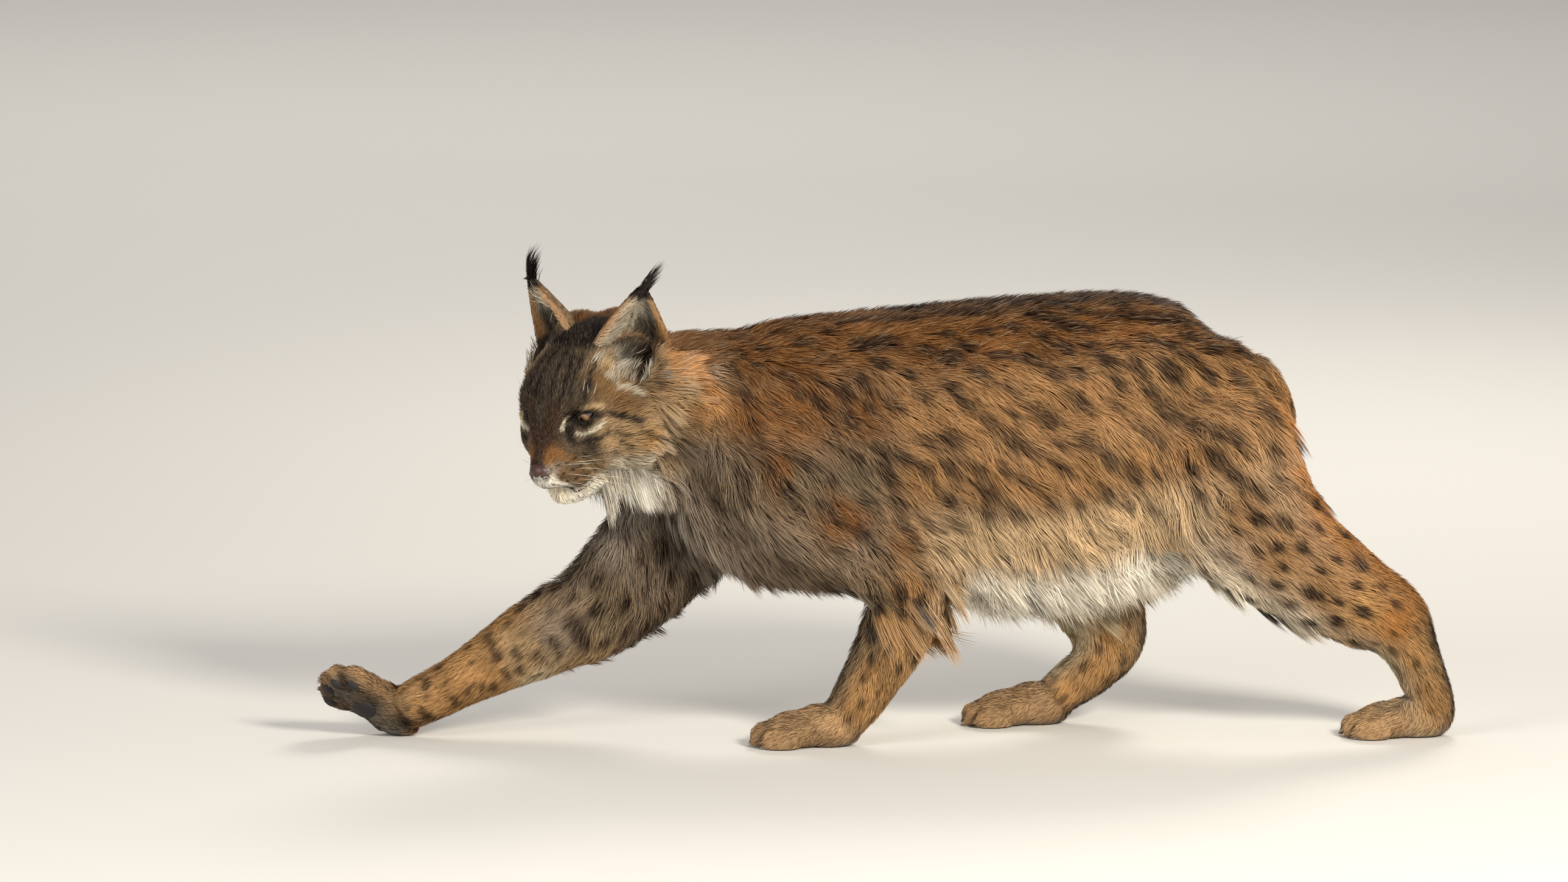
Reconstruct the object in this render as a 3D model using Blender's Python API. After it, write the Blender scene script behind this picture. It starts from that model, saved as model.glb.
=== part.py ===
# A still, life-size model of a walking Eurasian lynx in its winter coat.
# Metres, +Z up. The animal faces -X, its left side faces -Y, and all four feet meet the floor at z = 0.
# The origin is the centre of the footprint box, on the floor.

import math
import random

import bmesh
import bpy
import numpy as np
from mathutils import Matrix, Vector
from mathutils.bvhtree import BVHTree

GAP = 0.0003  # between pieces that touch
BOTH = (1, -1)  # the animal's left and right
BODY_VOXEL = 0.0055
HEAD_VOXEL = 0.0022
PAW_VOXEL = 0.0030
LOFT_SIDES = 20
RING_STEP = 0.014  # spacing of a loft's rings along its path

# The trunk, from the chest to the rump: x, top of the back, underside, half width.
TRUNK = [
    (-0.080, 0.468, 0.215, 0.070),
    (-0.051, 0.485, 0.192, 0.088),
    (0.008, 0.494, 0.176, 0.102),
    (0.079, 0.500, 0.170, 0.110),
    (0.149, 0.505, 0.166, 0.117),
    (0.220, 0.512, 0.158, 0.122),
    (0.290, 0.516, 0.150, 0.122),
    (0.346, 0.520, 0.160, 0.116),
    (0.403, 0.521, 0.182, 0.108),
    (0.459, 0.512, 0.204, 0.100),
    (0.504, 0.502, 0.230, 0.092),
    (0.532, 0.483, 0.270, 0.074),
    (0.552, 0.452, 0.318, 0.050),
]

# Chains of a limb or the neck: x, y, z of the centre, half width across, half depth.
NECK = [
    (0.010, 0.000, 0.385, 0.088, 0.098),
    (-0.050, -0.002, 0.385, 0.082, 0.095),
    (-0.105, -0.008, 0.392, 0.078, 0.088),
    (-0.150, -0.018, 0.400, 0.074, 0.078),
    (-0.190, -0.034, 0.405, 0.066, 0.066),
]
FORE_NEAR_UPPER = [
    (0.010, -0.050, 0.420, 0.040, 0.070),
    (-0.012, -0.066, 0.325, 0.048, 0.082),
    (0.060, -0.072, 0.268, 0.046, 0.080),
    (0.140, -0.074, 0.236, 0.042, 0.066),
]
FORE_NEAR_LOWER = [
    (0.140, -0.074, 0.236, 0.041, 0.058),
    (0.136, -0.072, 0.182, 0.038, 0.052),
    (0.120, -0.068, 0.128, 0.033, 0.046),
    (0.092, -0.064, 0.075, 0.030, 0.036),
    (0.072, -0.062, 0.042, 0.030, 0.031),
]
FORE_FAR_UPPER = [
    (-0.010, 0.045, 0.405, 0.040, 0.068),
    (-0.085, 0.062, 0.292, 0.048, 0.078),
    (-0.140, 0.062, 0.214, 0.046, 0.076),
    (-0.200, 0.060, 0.152, 0.042, 0.066),
]
FORE_FAR_LOWER = [
    (-0.200, 0.060, 0.150, 0.042, 0.064),
    (-0.262, 0.056, 0.121, 0.040, 0.054),
    (-0.305, 0.053, 0.099, 0.037, 0.046),
    (-0.345, 0.050, 0.078, 0.034, 0.038),
    (-0.385, 0.047, 0.057, 0.031, 0.032),
    (-0.425, 0.045, 0.038, 0.029, 0.029),
]
HIND_NEAR_UPPER = [
    (0.468, -0.044, 0.425, 0.052, 0.076),
    (0.490, -0.064, 0.350, 0.050, 0.094),
    (0.520, -0.070, 0.270, 0.049, 0.092),
    (0.562, -0.072, 0.222, 0.048, 0.080),
]
HIND_NEAR_LOWER = [
    (0.562, -0.072, 0.222, 0.047, 0.076),
    (0.622, -0.073, 0.181, 0.043, 0.064),
    (0.668, -0.072, 0.153, 0.038, 0.055),
    (0.698, -0.071, 0.137, 0.034, 0.048),
    (0.722, -0.070, 0.098, 0.029, 0.034),
    (0.740, -0.069, 0.055, 0.029, 0.029),
    (0.748, -0.068, 0.034, 0.030, 0.026),
]
HIND_FAR_UPPER = [
    (0.450, 0.044, 0.418, 0.052, 0.076),
    (0.402, 0.062, 0.345, 0.050, 0.086),
    (0.352, 0.067, 0.278, 0.048, 0.076),
    (0.335, 0.070, 0.240, 0.046, 0.068),
]
HIND_FAR_LOWER = [
    (0.336, 0.070, 0.244, 0.045, 0.064),
    (0.354, 0.070, 0.190, 0.042, 0.062),
    (0.376, 0.068, 0.136, 0.037, 0.056),
    (0.390, 0.066, 0.098, 0.033, 0.044),
    (0.368, 0.065, 0.064, 0.030, 0.033),
    (0.334, 0.064, 0.040, 0.030, 0.028),
]
TAIL = [
    (0.505, 0.004, 0.424, 0.040, 0.040),
    (0.540, 0.008, 0.402, 0.028, 0.029),
    (0.560, 0.012, 0.350, 0.025, 0.026),
    (0.564, 0.015, 0.298, 0.026, 0.026),
    (0.562, 0.017, 0.254, 0.022, 0.022),
]

UPPER_LIMBS = {"foreleg_left": FORE_NEAR_UPPER, "foreleg_right": FORE_FAR_UPPER,
               "hindleg_left": HIND_NEAR_UPPER, "hindleg_right": HIND_FAR_UPPER}
LOWER_LIMBS = {"foreleg_left": FORE_NEAR_LOWER, "foreleg_right": FORE_FAR_LOWER,
               "hindleg_left": HIND_NEAR_LOWER, "hindleg_right": HIND_FAR_LOWER}
WRIST = {"foreleg_left": 3, "foreleg_right": 4, "hindleg_left": 3, "hindleg_right": 3}  # the row at the cut

# The head's own frame: x ahead, y to its left, z up, with its origin midway between the eyes.
HEAD_AT = Vector((-0.265, -0.075, 0.392))
HEAD_TURN = math.radians(43)  # towards its left
HEAD_DOWN = math.radians(21)
HEAD_TILT = math.radians(-2)
HEAD_SECTIONS = [  # millimetres ahead, height of the middle, half width, half height
    (-128, 2, 60, 62),
    (-100, 0, 68, 67),
    (-70, 0, 71, 68),
    (-40, -5, 68, 64),
    (-14, -17, 61, 56),
    (4, -30, 49, 46),
    (20, -42, 35, 37),
    (36, -51, 26, 27),
    (46, -54, 19, 19),
]
EYE_OUT = 0.0350  # from the middle of the face to the middle of an eyeball
EYE_BACK = 0.0070
EYE_RADIUS = 0.0124
LID_RADIUS = 0.0152
EYE_HALF_SLIT = 0.0106
EYE_SIDES = 12
GAZE_OUT = math.radians(17)
SLIT_TILT = math.radians(14)
NOSE_AT = Vector((0.056, 0, -0.040))
EAR_ROOT = Vector((-0.080, 0.055, 0.040))
EAR_TIPS = {1: Vector((-0.106, 0.077, 0.108)), -1: Vector((-0.090, 0.080, 0.121))}  # left, right
EAR_OPENS = {1: math.radians(50), -1: math.radians(16)}  # outwards from straight ahead
EAR_HALF_WIDTH = 0.037
EAR_CUP = 0.029
EAR_THICK = 0.0040
TUFT_LENGTH = 0.046
TUFT_LOCKS = 4
TUFT_LEAN = {1: (-0.80, 0.34, -0.25), -1: (-0.50, 0.42, 0)}  # bent by the wind, in the head's frame

# Each foot: its wrist or heel end, the way the toes point, the way the sole faces and its half width.
FEET = {
    "foreleg_left": dict(at=(0.030, -0.062, 0.0), toes=(-1, 0.05, 0), sole=(0, 0, -1), half=0.037),
    "foreleg_right": dict(at=(-0.474, 0.041, 0.0255), toes=(-0.80, -0.12, 0.60),
                            sole=(-0.42, -0.62, -0.66), half=0.036),
    "hindleg_left": dict(at=(0.715, -0.068, 0.0), toes=(-1, 0.04, 0), sole=(0, 0, -1), half=0.034),
    "hindleg_right": dict(at=(0.290, 0.064, 0.0), toes=(-1, -0.04, 0), sole=(0, 0, -1), half=0.034),
}

# Side outlines that part a limb from the trunk, each the hull of circles at x, z with a radius.
UPPER_CUTS = {
    "foreleg_left": [(0.000, 0.352, 0.070), (0.060, 0.285, 0.084), (0.140, 0.236, 0.070)],
    "foreleg_right": [(-0.040, 0.345, 0.066), (-0.108, 0.258, 0.090), (-0.160, 0.190, 0.086)],
    "hindleg_left": [(0.472, 0.378, 0.080), (0.492, 0.340, 0.096), (0.525, 0.270, 0.100), (0.562, 0.225, 0.082)],
    "hindleg_right": [(0.435, 0.378, 0.076), (0.396, 0.335, 0.090), (0.350, 0.262, 0.096)],
}
# How far from the middle plane these cuts stop.
CUT_INNER = {"foreleg_left": 0.034, "foreleg_right": 0.010, "hindleg_left": 0.012, "hindleg_right": 0.012}
LOWER_CUT_INNER = 0.004
NECK_CUT = dict(point=(-0.030, 0, 0.400), normal=(-0.93, 0, 0.36))
HEAD_CUT = dict(point=(-0.105, -0.030, 0.400), normal=(-0.80, -0.60, 0.05))

BODY_TRIANGLES = 2550
HEAD_TRIANGLES = 1950
FOOT_TRIANGLES = 350
TAIL_TRIANGLES = 170

# Rows of locks on the body, for one side or both: from, to, how many, length, width, the way they leave
# the skin beside its normal, the way they lie, and how far they stand off it. Metres, y away from the middle.
BODY_LOCKS = [
    dict(name="belly edge", sides=BOTH, row=[(0.03, 0.080, 0.18), (0.22, 0.090, 0.17), (0.42, 0.078, 0.20)],
         count=9, length=0.082, width=0.040, lie=(0.70, 0.0, -0.72), lift=0.10),
    dict(name="belly", sides=BOTH, row=[(-0.01, 0.030, 0.16), (0.20, 0.034, 0.14), (0.39, 0.030, 0.17)], count=7,
         length=0.078, width=0.044, lie=(0.85, 0.0, -0.52), lift=0.12),
    dict(name="chest", sides=BOTH, row=[(-0.13, 0.024, 0.31), (-0.09, 0.024, 0.25), (-0.06, 0.028, 0.19)], count=5,
         length=0.070, width=0.032, lie=(0.40, 0.0, -0.92), lift=0.12),
    dict(name="elbow", sides=(-1,), row=[(0.205, 0.080, 0.245), (0.190, 0.080, 0.165)], count=3,
         length=0.050, width=0.026, lie=(0.60, 0.0, -0.80), lift=0.14),
    dict(name="reaching elbow", sides=(1,), row=[(-0.06, 0.065, 0.19), (-0.17, 0.062, 0.10), (-0.28, 0.056, 0.06)],
         count=5, length=0.060, width=0.030, lie=(0.75, 0.0, -0.62), lift=0.10),
    dict(name="haunch", sides=(-1,), row=[(0.575, 0.072, 0.400), (0.605, 0.074, 0.310), (0.665, 0.074, 0.225)],
         count=6, length=0.066, width=0.032, lie=(0.50, 0.0, -0.85), lift=0.10),
    dict(name="far haunch", sides=(1,), row=[(0.52, 0.075, 0.36), (0.46, 0.075, 0.25), (0.44, 0.070, 0.18)],
         count=5, length=0.064, width=0.032, lie=(0.35, 0.0, -0.9), lift=0.10),
    dict(name="stifle", sides=(-1,), row=[(0.440, 0.074, 0.245), (0.520, 0.074, 0.165), (0.600, 0.074, 0.130)],
         count=5, length=0.064, width=0.032, lie=(0.80, 0.0, -0.60), lift=0.10),
]

# The same for the head, in millimetres in its own frame.
HEAD_LOCKS = [
    dict(name="ruff edge", sides=BOTH, row=[(-114, 106, 42), (-124, 118, -6), (-116, 114, -54), (-94, 86, -98)],
         count=7, length=64, width=29, lie=[(-0.95, 0.10, -0.10), (-0.45, 0.05, -0.90)], lift=0.18),
    dict(name="ruff", sides=BOTH, row=[(-88, 106, 30), (-90, 116, -14), (-86, 108, -58), (-70, 80, -98)],
         count=7, length=58, width=27, lie=[(-0.90, 0.0, -0.30), (-0.45, 0.0, -0.90)], lift=0.10),
    dict(name="cheek", sides=(1,), row=[(-62, 96, 10), (-60, 100, -24), (-54, 90, -62)],
         count=4, length=48, width=24, lie=[(-0.90, 0.0, -0.40), (-0.60, 0.0, -0.80)], lift=0.06),
    dict(name="beard", sides=BOTH, row=[(-46, 60, -112), (-68, 62, -118), (-92, 50, -120)], count=4,
         length=90, width=28, lie=[(-0.30, 0.0, -0.95), (-0.30, 0.0, -0.95)], lift=0.10),
    dict(name="jaw", sides=BOTH, row=[(-8, 38, -94), (-36, 30, -110)], count=2,
         length=42, width=22, lie=[(-0.75, 0.0, -0.60), (-0.60, 0.0, -0.75)], lift=0.10),
]
LOCK_SINK = 0.22  # of a lock's length lies inside its root
LOCK_THICK = 0.28  # of its width

COLOURS = {
    "coat_rufous": (0.36, 0.17, 0.07, 1),
    "coat_ochre": (0.50, 0.30, 0.15, 1),
    "coat_pale": (0.72, 0.62, 0.50, 1),
    "eye": (0.55, 0.42, 0.16, 1),
    "nose_leather": (0.16, 0.07, 0.05, 1),
}


def clear_scene():
    for found in list(bpy.data.objects):
        bpy.data.objects.remove(found, do_unlink=True)


def material(name, roughness=0.85):
    made = bpy.data.materials.get(name)
    if made is None:
        made = bpy.data.materials.new(name)
        made.use_nodes = True
        shader = made.node_tree.nodes["Principled BSDF"]
        shader.inputs["Base Color"].default_value = COLOURS[name]
        shader.inputs["Roughness"].default_value = roughness
    return made


def head_matrix():
    """From the head's own frame to the body's."""
    facing = Matrix.Rotation(math.pi, 4, "Z")
    turned = Matrix.Rotation(HEAD_TURN, 4, "Z")
    pitched = Matrix.Rotation(-HEAD_DOWN, 4, "Y")
    tilted = Matrix.Rotation(HEAD_TILT, 4, "X")
    return Matrix.Translation(HEAD_AT) @ turned @ pitched @ tilted @ facing


def catmull(rows, step):
    """Points of a smooth curve through the rows, about one step apart."""
    rows = np.array(rows, float)
    ends = np.vstack([2 * rows[0] - rows[1], rows, 2 * rows[-1] - rows[-2]])
    made = []
    for i in range(1, len(ends) - 2):
        p0, p1, p2, p3 = ends[i - 1 : i + 3]
        count = max(1, round(np.linalg.norm(p2[:3] - p1[:3]) / step))
        for k in range(count):
            t = k / count
            made.append(
                0.5 * (2 * p1 + (p2 - p0) * t + (2 * p0 - 5 * p1 + 4 * p2 - p3) * t**2
                       + (3 * p1 - p0 - 3 * p2 + p3) * t**3)
            )
    made.append(rows[-1])
    return np.array(made)


def loft(bm, chain, across=(0, 1, 0), matrix=None, step=RING_STEP):
    """A closed tube with round ends through a chain of x, y, z, half width, half depth."""
    rows = catmull(chain, step)
    across = Vector(across)
    rings = []
    frames = []
    for i, row in enumerate(rows):
        ahead = Vector(rows[min(i + 1, len(rows) - 1)][:3] - rows[max(i - 1, 0)][:3]).normalized()
        across = side = (across - ahead * across.dot(ahead)).normalized()
        frames.append((Vector(row[:3]), ahead, side, ahead.cross(side), row[3], row[4]))
    caps = [math.radians(a) for a in (70, 45, 20)]

    def add_ring(centre, side, deep, wide, tall):
        turn = Matrix((side * wide, deep * tall, side.cross(deep))).transposed().to_4x4()
        ring = bmesh.ops.create_circle(
            bm, segments=LOFT_SIDES, radius=1, matrix=Matrix.Translation(centre) @ turn
        )
        rings.append(ring["verts"])

    centre, ahead, side, deep, wide, tall = frames[0]
    for a in caps:
        add_ring(centre - ahead * min(wide, tall) * math.sin(a) * 0.8, side, deep, wide * math.cos(a), tall * math.cos(a))
    for centre, ahead, side, deep, wide, tall in frames:
        add_ring(centre, side, deep, wide, tall)
    for a in reversed(caps):
        add_ring(centre + ahead * min(wide, tall) * math.sin(a) * 0.8, side, deep, wide * math.cos(a), tall * math.cos(a))
    for low, high in zip(rings, rings[1:]):
        for k in range(LOFT_SIDES):
            n = (k + 1) % LOFT_SIDES
            bm.faces.new((low[k], low[n], high[n], high[k]))
    first = bm.faces.new(list(reversed(rings[0])))
    last = bm.faces.new(rings[-1])
    made = [v for ring in rings for v in ring]
    if matrix is not None:
        bmesh.ops.transform(bm, matrix=matrix, verts=made)
    faces = {f for v in made for f in v.link_faces} | {first, last}
    bmesh.ops.recalc_face_normals(bm, faces=list(faces))


def trunk_chain():
    return [(x, 0.0, (top + low) / 2, wide, (top - low) / 2) for x, top, low, wide in TRUNK]


def ellipsoid(bm, centre, radii, matrix=None, turn=None):
    """A closed ellipsoid; turn is its own rotation."""
    place = Matrix.Translation(Vector(centre)) @ (turn or Matrix.Identity(4)) @ Matrix.Diagonal((*radii, 1))
    if matrix is not None:
        place = matrix @ place
    bmesh.ops.create_icosphere(bm, subdivisions=4, radius=1, matrix=place)


def mesh_object(name, bm, keep=True):
    mesh = bpy.data.meshes.new(name)
    bm.to_mesh(mesh)
    bm.free()
    made = bpy.data.objects.new(name, mesh)
    bpy.context.scene.collection.objects.link(made)
    made.hide_render = not keep
    return made


def applied(obj):
    """The object with its modifiers applied."""
    bpy.context.view_layer.update()
    graph = bpy.context.evaluated_depsgraph_get()
    mesh = bpy.data.meshes.new_from_object(obj.evaluated_get(graph))
    obj.modifiers.clear()
    obj.data = mesh
    return obj


def remeshed(obj, voxel, smooth_steps, smooth_factor=0.5):
    """One smooth closed surface round all the object's overlapping shells."""
    remesh = obj.modifiers.new("Remesh", "REMESH")
    remesh.mode = "VOXEL"
    remesh.voxel_size = voxel
    smooth = obj.modifiers.new("Smooth", "SMOOTH")
    smooth.factor = smooth_factor
    smooth.iterations = smooth_steps
    return applied(obj)


def boolean(obj, other, operation, solver="MANIFOLD"):
    cut = obj.modifiers.new("Boolean", "BOOLEAN")
    cut.operation = operation
    cut.solver = solver
    cut.object = other
    applied(obj)
    return obj


def decimated(obj, triangles):
    """The object brought down to about that many triangles."""
    obj.data.calc_loop_triangles()
    now = len(obj.data.loop_triangles)
    if now > triangles:
        fewer = obj.modifiers.new("Decimate", "DECIMATE")
        fewer.ratio = triangles / now
        applied(obj)
    return obj


def copy_of(obj, name):
    made = obj.copy()
    made.data = obj.data.copy()
    made.name = name
    bpy.context.scene.collection.objects.link(made)
    return made


def largest_shell(obj):
    """Keeps only the object's largest closed surface, as triangles."""
    bm = bmesh.new()
    bm.from_mesh(obj.data)
    bmesh.ops.remove_doubles(bm, verts=bm.verts, dist=0.00002)
    bmesh.ops.dissolve_degenerate(bm, edges=bm.edges, dist=0.00002)
    bmesh.ops.triangulate(bm, faces=bm.faces)
    seen, shells = set(), []
    for start in bm.faces:
        if start in seen:
            continue
        stack, shell = [start], []
        seen.add(start)
        while stack:
            face = stack.pop()
            shell.append(face)
            for edge in face.edges:
                for other in edge.link_faces:
                    if other not in seen:
                        seen.add(other)
                        stack.append(other)
        shells.append(shell)
    best = max(shells, key=lambda shell: sum(f.calc_area() for f in shell))
    for shell in shells:
        if shell is not best:
            bmesh.ops.delete(bm, geom=shell, context="FACES")
    loose = [v for v in bm.verts if not v.link_faces]
    bmesh.ops.delete(bm, geom=loose, context="VERTS")
    bm.to_mesh(obj.data)
    bm.free()
    return obj


def half_space(name, point, normal, size=1.6, shift=0.0):
    """A large box on the far side of a plane from where its normal points."""
    normal = Vector(normal).normalized()
    turn = normal.to_track_quat("Z", "Y").to_matrix().to_4x4()
    bm = bmesh.new()
    centre = Vector(point) + normal * (shift - size / 2)
    bmesh.ops.create_cube(bm, size=size, matrix=Matrix.Translation(centre) @ turn)
    return mesh_object(name, bm, keep=False)


def discard(*objects):
    for found in objects:
        bpy.data.objects.remove(found, do_unlink=True)


def form(bm, matrix, centre, radii, down=0, sides=(1,)):
    """An ellipsoid in millimetres in the head's frame, on one side or both."""
    for side in sides:
        place = Vector((centre[0], centre[1] * side, centre[2])) * 0.001
        turn = Matrix.Rotation(math.radians(down), 4, "Y")
        ellipsoid(bm, place, [r * 0.001 for r in radii], matrix, turn)


def head_masses(bm, matrix):
    """The skull and muzzle, the cheeks, the nape and the body of the ruff."""
    skull = [(x * 0.001, 0, z * 0.001, wide * 0.001, tall * 0.001) for x, z, wide, tall in HEAD_SECTIONS]
    loft(bm, skull, matrix=matrix, step=0.006)
    form(bm, matrix, (14, 0, -86), (30, 25, 20), -8)
    form(bm, matrix, (-14, 0, -78), (44, 38, 30), -8)
    form(bm, matrix, (-22, 42, -34), (42, 30, 42), 0, BOTH)
    form(bm, matrix, (-52, 58, -32), (46, 38, 56), 0, BOTH)
    form(bm, matrix, (-98, 80, -24), (44, 44, 70), 10, BOTH)
    form(bm, matrix, (-74, 44, -84), (38, 34, 46), 14, BOTH)
    form(bm, matrix, (-60, 0, -64), (60, 56, 52))
    form(bm, matrix, (-90, 46, 24), (36, 32, 32), 0, BOTH)


def hollows(bm, matrix):
    """The hollows that the lids stand in, and those in front of the ears."""
    form(bm, matrix, (18, 37, -3), (19, 19, 15), 20, BOTH)
    form(bm, matrix, (-80, 56, 56), (22, 24, 30), 0, BOTH)


def head_details(bm, matrix):
    """Whisker pads, bridge, chin and lids, over the smooth masses."""
    form(bm, matrix, (32, 13, -62), (18, 15, 14), 10, BOTH)
    form(bm, matrix, (21, 23, -63), (21, 15, 16), 0, BOTH)
    form(bm, matrix, (42, 0, -38), (17, 12.5, 12), 25)
    form(bm, matrix, (28, 0, -87), (18, 17, 13))
    form(bm, matrix, (14, 19, -85), (20, 12, 10), 10, BOTH)
    for side in BOTH:
        ellipsoid(bm, eye_centre(side), (LID_RADIUS,) * 3, matrix)


def eye_centre(side):
    return Vector((-EYE_BACK, EYE_OUT * side, 0.001))


def eye_matrix(side):
    """From an eye's own frame, x along its gaze, to the body's."""
    turn = Matrix.Rotation(GAZE_OUT * side, 4, "Z") @ Matrix.Rotation(SLIT_TILT * side, 4, "X")
    return head_matrix() @ Matrix.Translation(eye_centre(side)) @ turn


def make_head():
    """Head and neck together, uncut."""
    place = head_matrix()
    bm = bmesh.new()
    head_masses(bm, place)
    loft(bm, NECK)
    head = remeshed(mesh_object("head", bm), HEAD_VOXEL, 2)
    bm = bmesh.new()
    hollows(bm, place)
    pits = mesh_object("pits", bm)
    boolean(head, pits, "DIFFERENCE")
    discard(pits)
    head = remeshed(head, HEAD_VOXEL, 30)
    bm = bmesh.new()
    bm.from_mesh(head.data)
    head_details(bm, place)
    bm.to_mesh(head.data)
    bm.free()
    return remeshed(head, HEAD_VOXEL * 0.8, 7)


def make_body():
    """Trunk, neck and limbs in one surface."""
    bm = bmesh.new()
    loft(bm, trunk_chain())
    for chain in (NECK, *UPPER_LIMBS.values(), *LOWER_LIMBS.values()):
        loft(bm, chain)
    return remeshed(mesh_object("body", bm), BODY_VOXEL, 22)


def foot_matrix(foot):
    """From a foot's own frame, x to the toes and z away from the sole, to the body's."""
    back = -Vector(foot["sole"]).normalized()
    toes = Vector(foot["toes"])
    toes = (toes - back * toes.dot(back)).normalized()
    turn = Matrix((toes, back.cross(toes), back)).transposed().to_4x4()
    return Matrix.Translation(Vector(foot["at"])) @ turn


def foot_forms(bm, foot, matrix):
    """A broad furred foot: its back and four toes, with the sole near the plane z = 0."""
    half = foot["half"]
    ellipsoid(bm, (-0.014, 0, 0.024), (0.044, half * 0.86, 0.027), matrix)
    ellipsoid(bm, (0.020, 0, 0.020), (0.038, half * 0.96, 0.022), matrix)
    for k, ahead in zip((-1.5, -0.5, 0.5, 1.5), (0.040, 0.052, 0.052, 0.040)):
        ellipsoid(bm, (ahead, k * half * 0.52, 0.0135), (0.025, half * 0.30, 0.0165), matrix)


def lock(bm, root, along, lie, length, width, thick, bend=0.5, sides=4):
    """A flat tapered lock: it leaves its root along one way and bends over to the lie of the coat."""
    along, lie = Vector(along).normalized(), Vector(lie).normalized()
    flat = along.cross(lie)
    flat = flat.normalized() if flat.length > 0.05 else along.orthogonal().normalized()
    shape = [(-LOCK_SINK, 0.60), (0.30, 1.0), (0.72, 0.55)]
    rings = []
    for reach, share in shape:
        t = max(0.0, reach)
        ahead = (along * (1 - bend * t) + lie * (bend * t)).normalized()
        centre = root + ahead * (reach * length)
        up = ahead.cross(flat).normalized()
        ring = []
        for k in range(sides):
            turn = 2 * math.pi * k / sides
            across = flat * (math.cos(turn) * width * share * 0.5)
            ring.append(bm.verts.new(centre + across + up * (math.sin(turn) * thick * share * 0.5)))
        rings.append(ring)
    ahead = (along * (1 - bend) + lie * bend).normalized()
    tip = bm.verts.new(root + ahead * length)
    faces = [bm.faces.new(list(reversed(rings[0])))]
    for low, high in zip(rings, rings[1:]):
        for k in range(sides):
            n = (k + 1) % sides
            faces.append(bm.faces.new((low[k], low[n], high[n], high[k])))
    for k in range(sides):
        faces.append(bm.faces.new((rings[-1][k], rings[-1][(k + 1) % sides], tip)))
    bmesh.ops.recalc_face_normals(bm, faces=faces)
    return [v for ring in rings for v in ring] + [tip]


def fused(obj, pieces, solver="MANIFOLD"):
    """Joins closed pieces to the object in one union on a collection."""
    group = bpy.data.collections.new("locks")
    bpy.context.scene.collection.children.link(group)
    for piece in pieces:
        bpy.context.scene.collection.objects.unlink(piece)
        group.objects.link(piece)
    join = obj.modifiers.new("Locks", "BOOLEAN")
    join.operation = "UNION"
    join.operand_type = "COLLECTION"
    join.collection = group
    join.solver = solver
    applied(obj)
    for piece in pieces:
        bpy.data.objects.remove(piece, do_unlink=True)
    bpy.data.collections.remove(group)
    return obj


def lock_object(*sizes, **options):
    bm = bmesh.new()
    lock(bm, *sizes, **options)
    return mesh_object("lock", bm)


def lock_rows(surface, rows, matrix, scale, seed):
    """Locks along each row, rooted on the surface, mirrored for the sides that a row names."""
    rng = random.Random(seed)
    turn = matrix.to_3x3()
    pieces = []
    for row in rows:
        for side in row["sides"]:
            points = catmull(row["row"], 0.002 / scale)
            lies = row["lie"] if isinstance(row["lie"], list) else [row["lie"], row["lie"]]
            for k in range(row["count"]):
                t = min(1, max(0, (k + rng.uniform(-0.18, 0.18)) / (row["count"] - 1)))
                guide = points[round(t * (len(points) - 1))] * scale
                hit, normal, _, _ = surface.find_nearest(matrix @ Vector((guide[0], guide[1] * side, guide[2])))
                lie = Vector(lies[0]).lerp(Vector(lies[1]), t)
                lie = turn @ Vector((lie.x, lie.y * side, lie.z)).normalized()
                lie = (lie - normal * lie.dot(normal)).normalized()
                skew = Vector([rng.uniform(-0.14, 0.14) for _ in range(3)])
                along = lie + normal * (0.34 + row["lift"]) + skew
                flow = lie + normal * (row["lift"] - 0.12) + skew
                size = rng.uniform(0.85, 1.12) * scale
                wide = row["width"] * size
                pieces.append(lock_object(hit, along, flow, row["length"] * size, wide, wide * LOCK_THICK,
                                          bend=0.85))
    return pieces


def ear_tuft(ear, side):
    """The long black hairs at an ear's tip."""
    rng = random.Random(40 + side)
    place = head_matrix()
    turn = place.to_3x3()
    root, length, up, opens, out = ear_axes(side)
    tip = place @ (root + up * length * 0.96 - opens * 0.006)
    lean = Vector(TUFT_LEAN[side])
    pieces = []
    for k in range(TUFT_LOCKS):
        spread = (k / (TUFT_LOCKS - 1) - 0.5) * 2
        across = turn @ (out * spread)
        along = turn @ (up + opens * 0.75) + across * 0.12
        lie = turn @ (up + lean) - across * 0.02
        start = tip + across * 0.0024
        size = TUFT_LENGTH * (1.12 - 0.22 * abs(spread)) * rng.uniform(0.92, 1.05)
        pieces.append(lock_object(start, along, lie, size, 0.0052, 0.0036, bend=0.75))
    return fused(ear, pieces)


def bvh_of(obj):
    bm = bmesh.new()
    bm.from_mesh(obj.data)
    tree = BVHTree.FromBMesh(bm)
    bm.free()
    return tree


def grown(obj, by=GAP):
    """A copy whose surface lies a little outside the object's."""
    made = copy_of(obj, obj.name + "_grown")
    bm = bmesh.new()
    bm.from_mesh(made.data)
    bm.normal_update()
    moves = [(v, v.normal * by) for v in bm.verts]
    for vert, move in moves:
        vert.co += move
    bm.to_mesh(made.data)
    bm.free()
    return made


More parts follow.
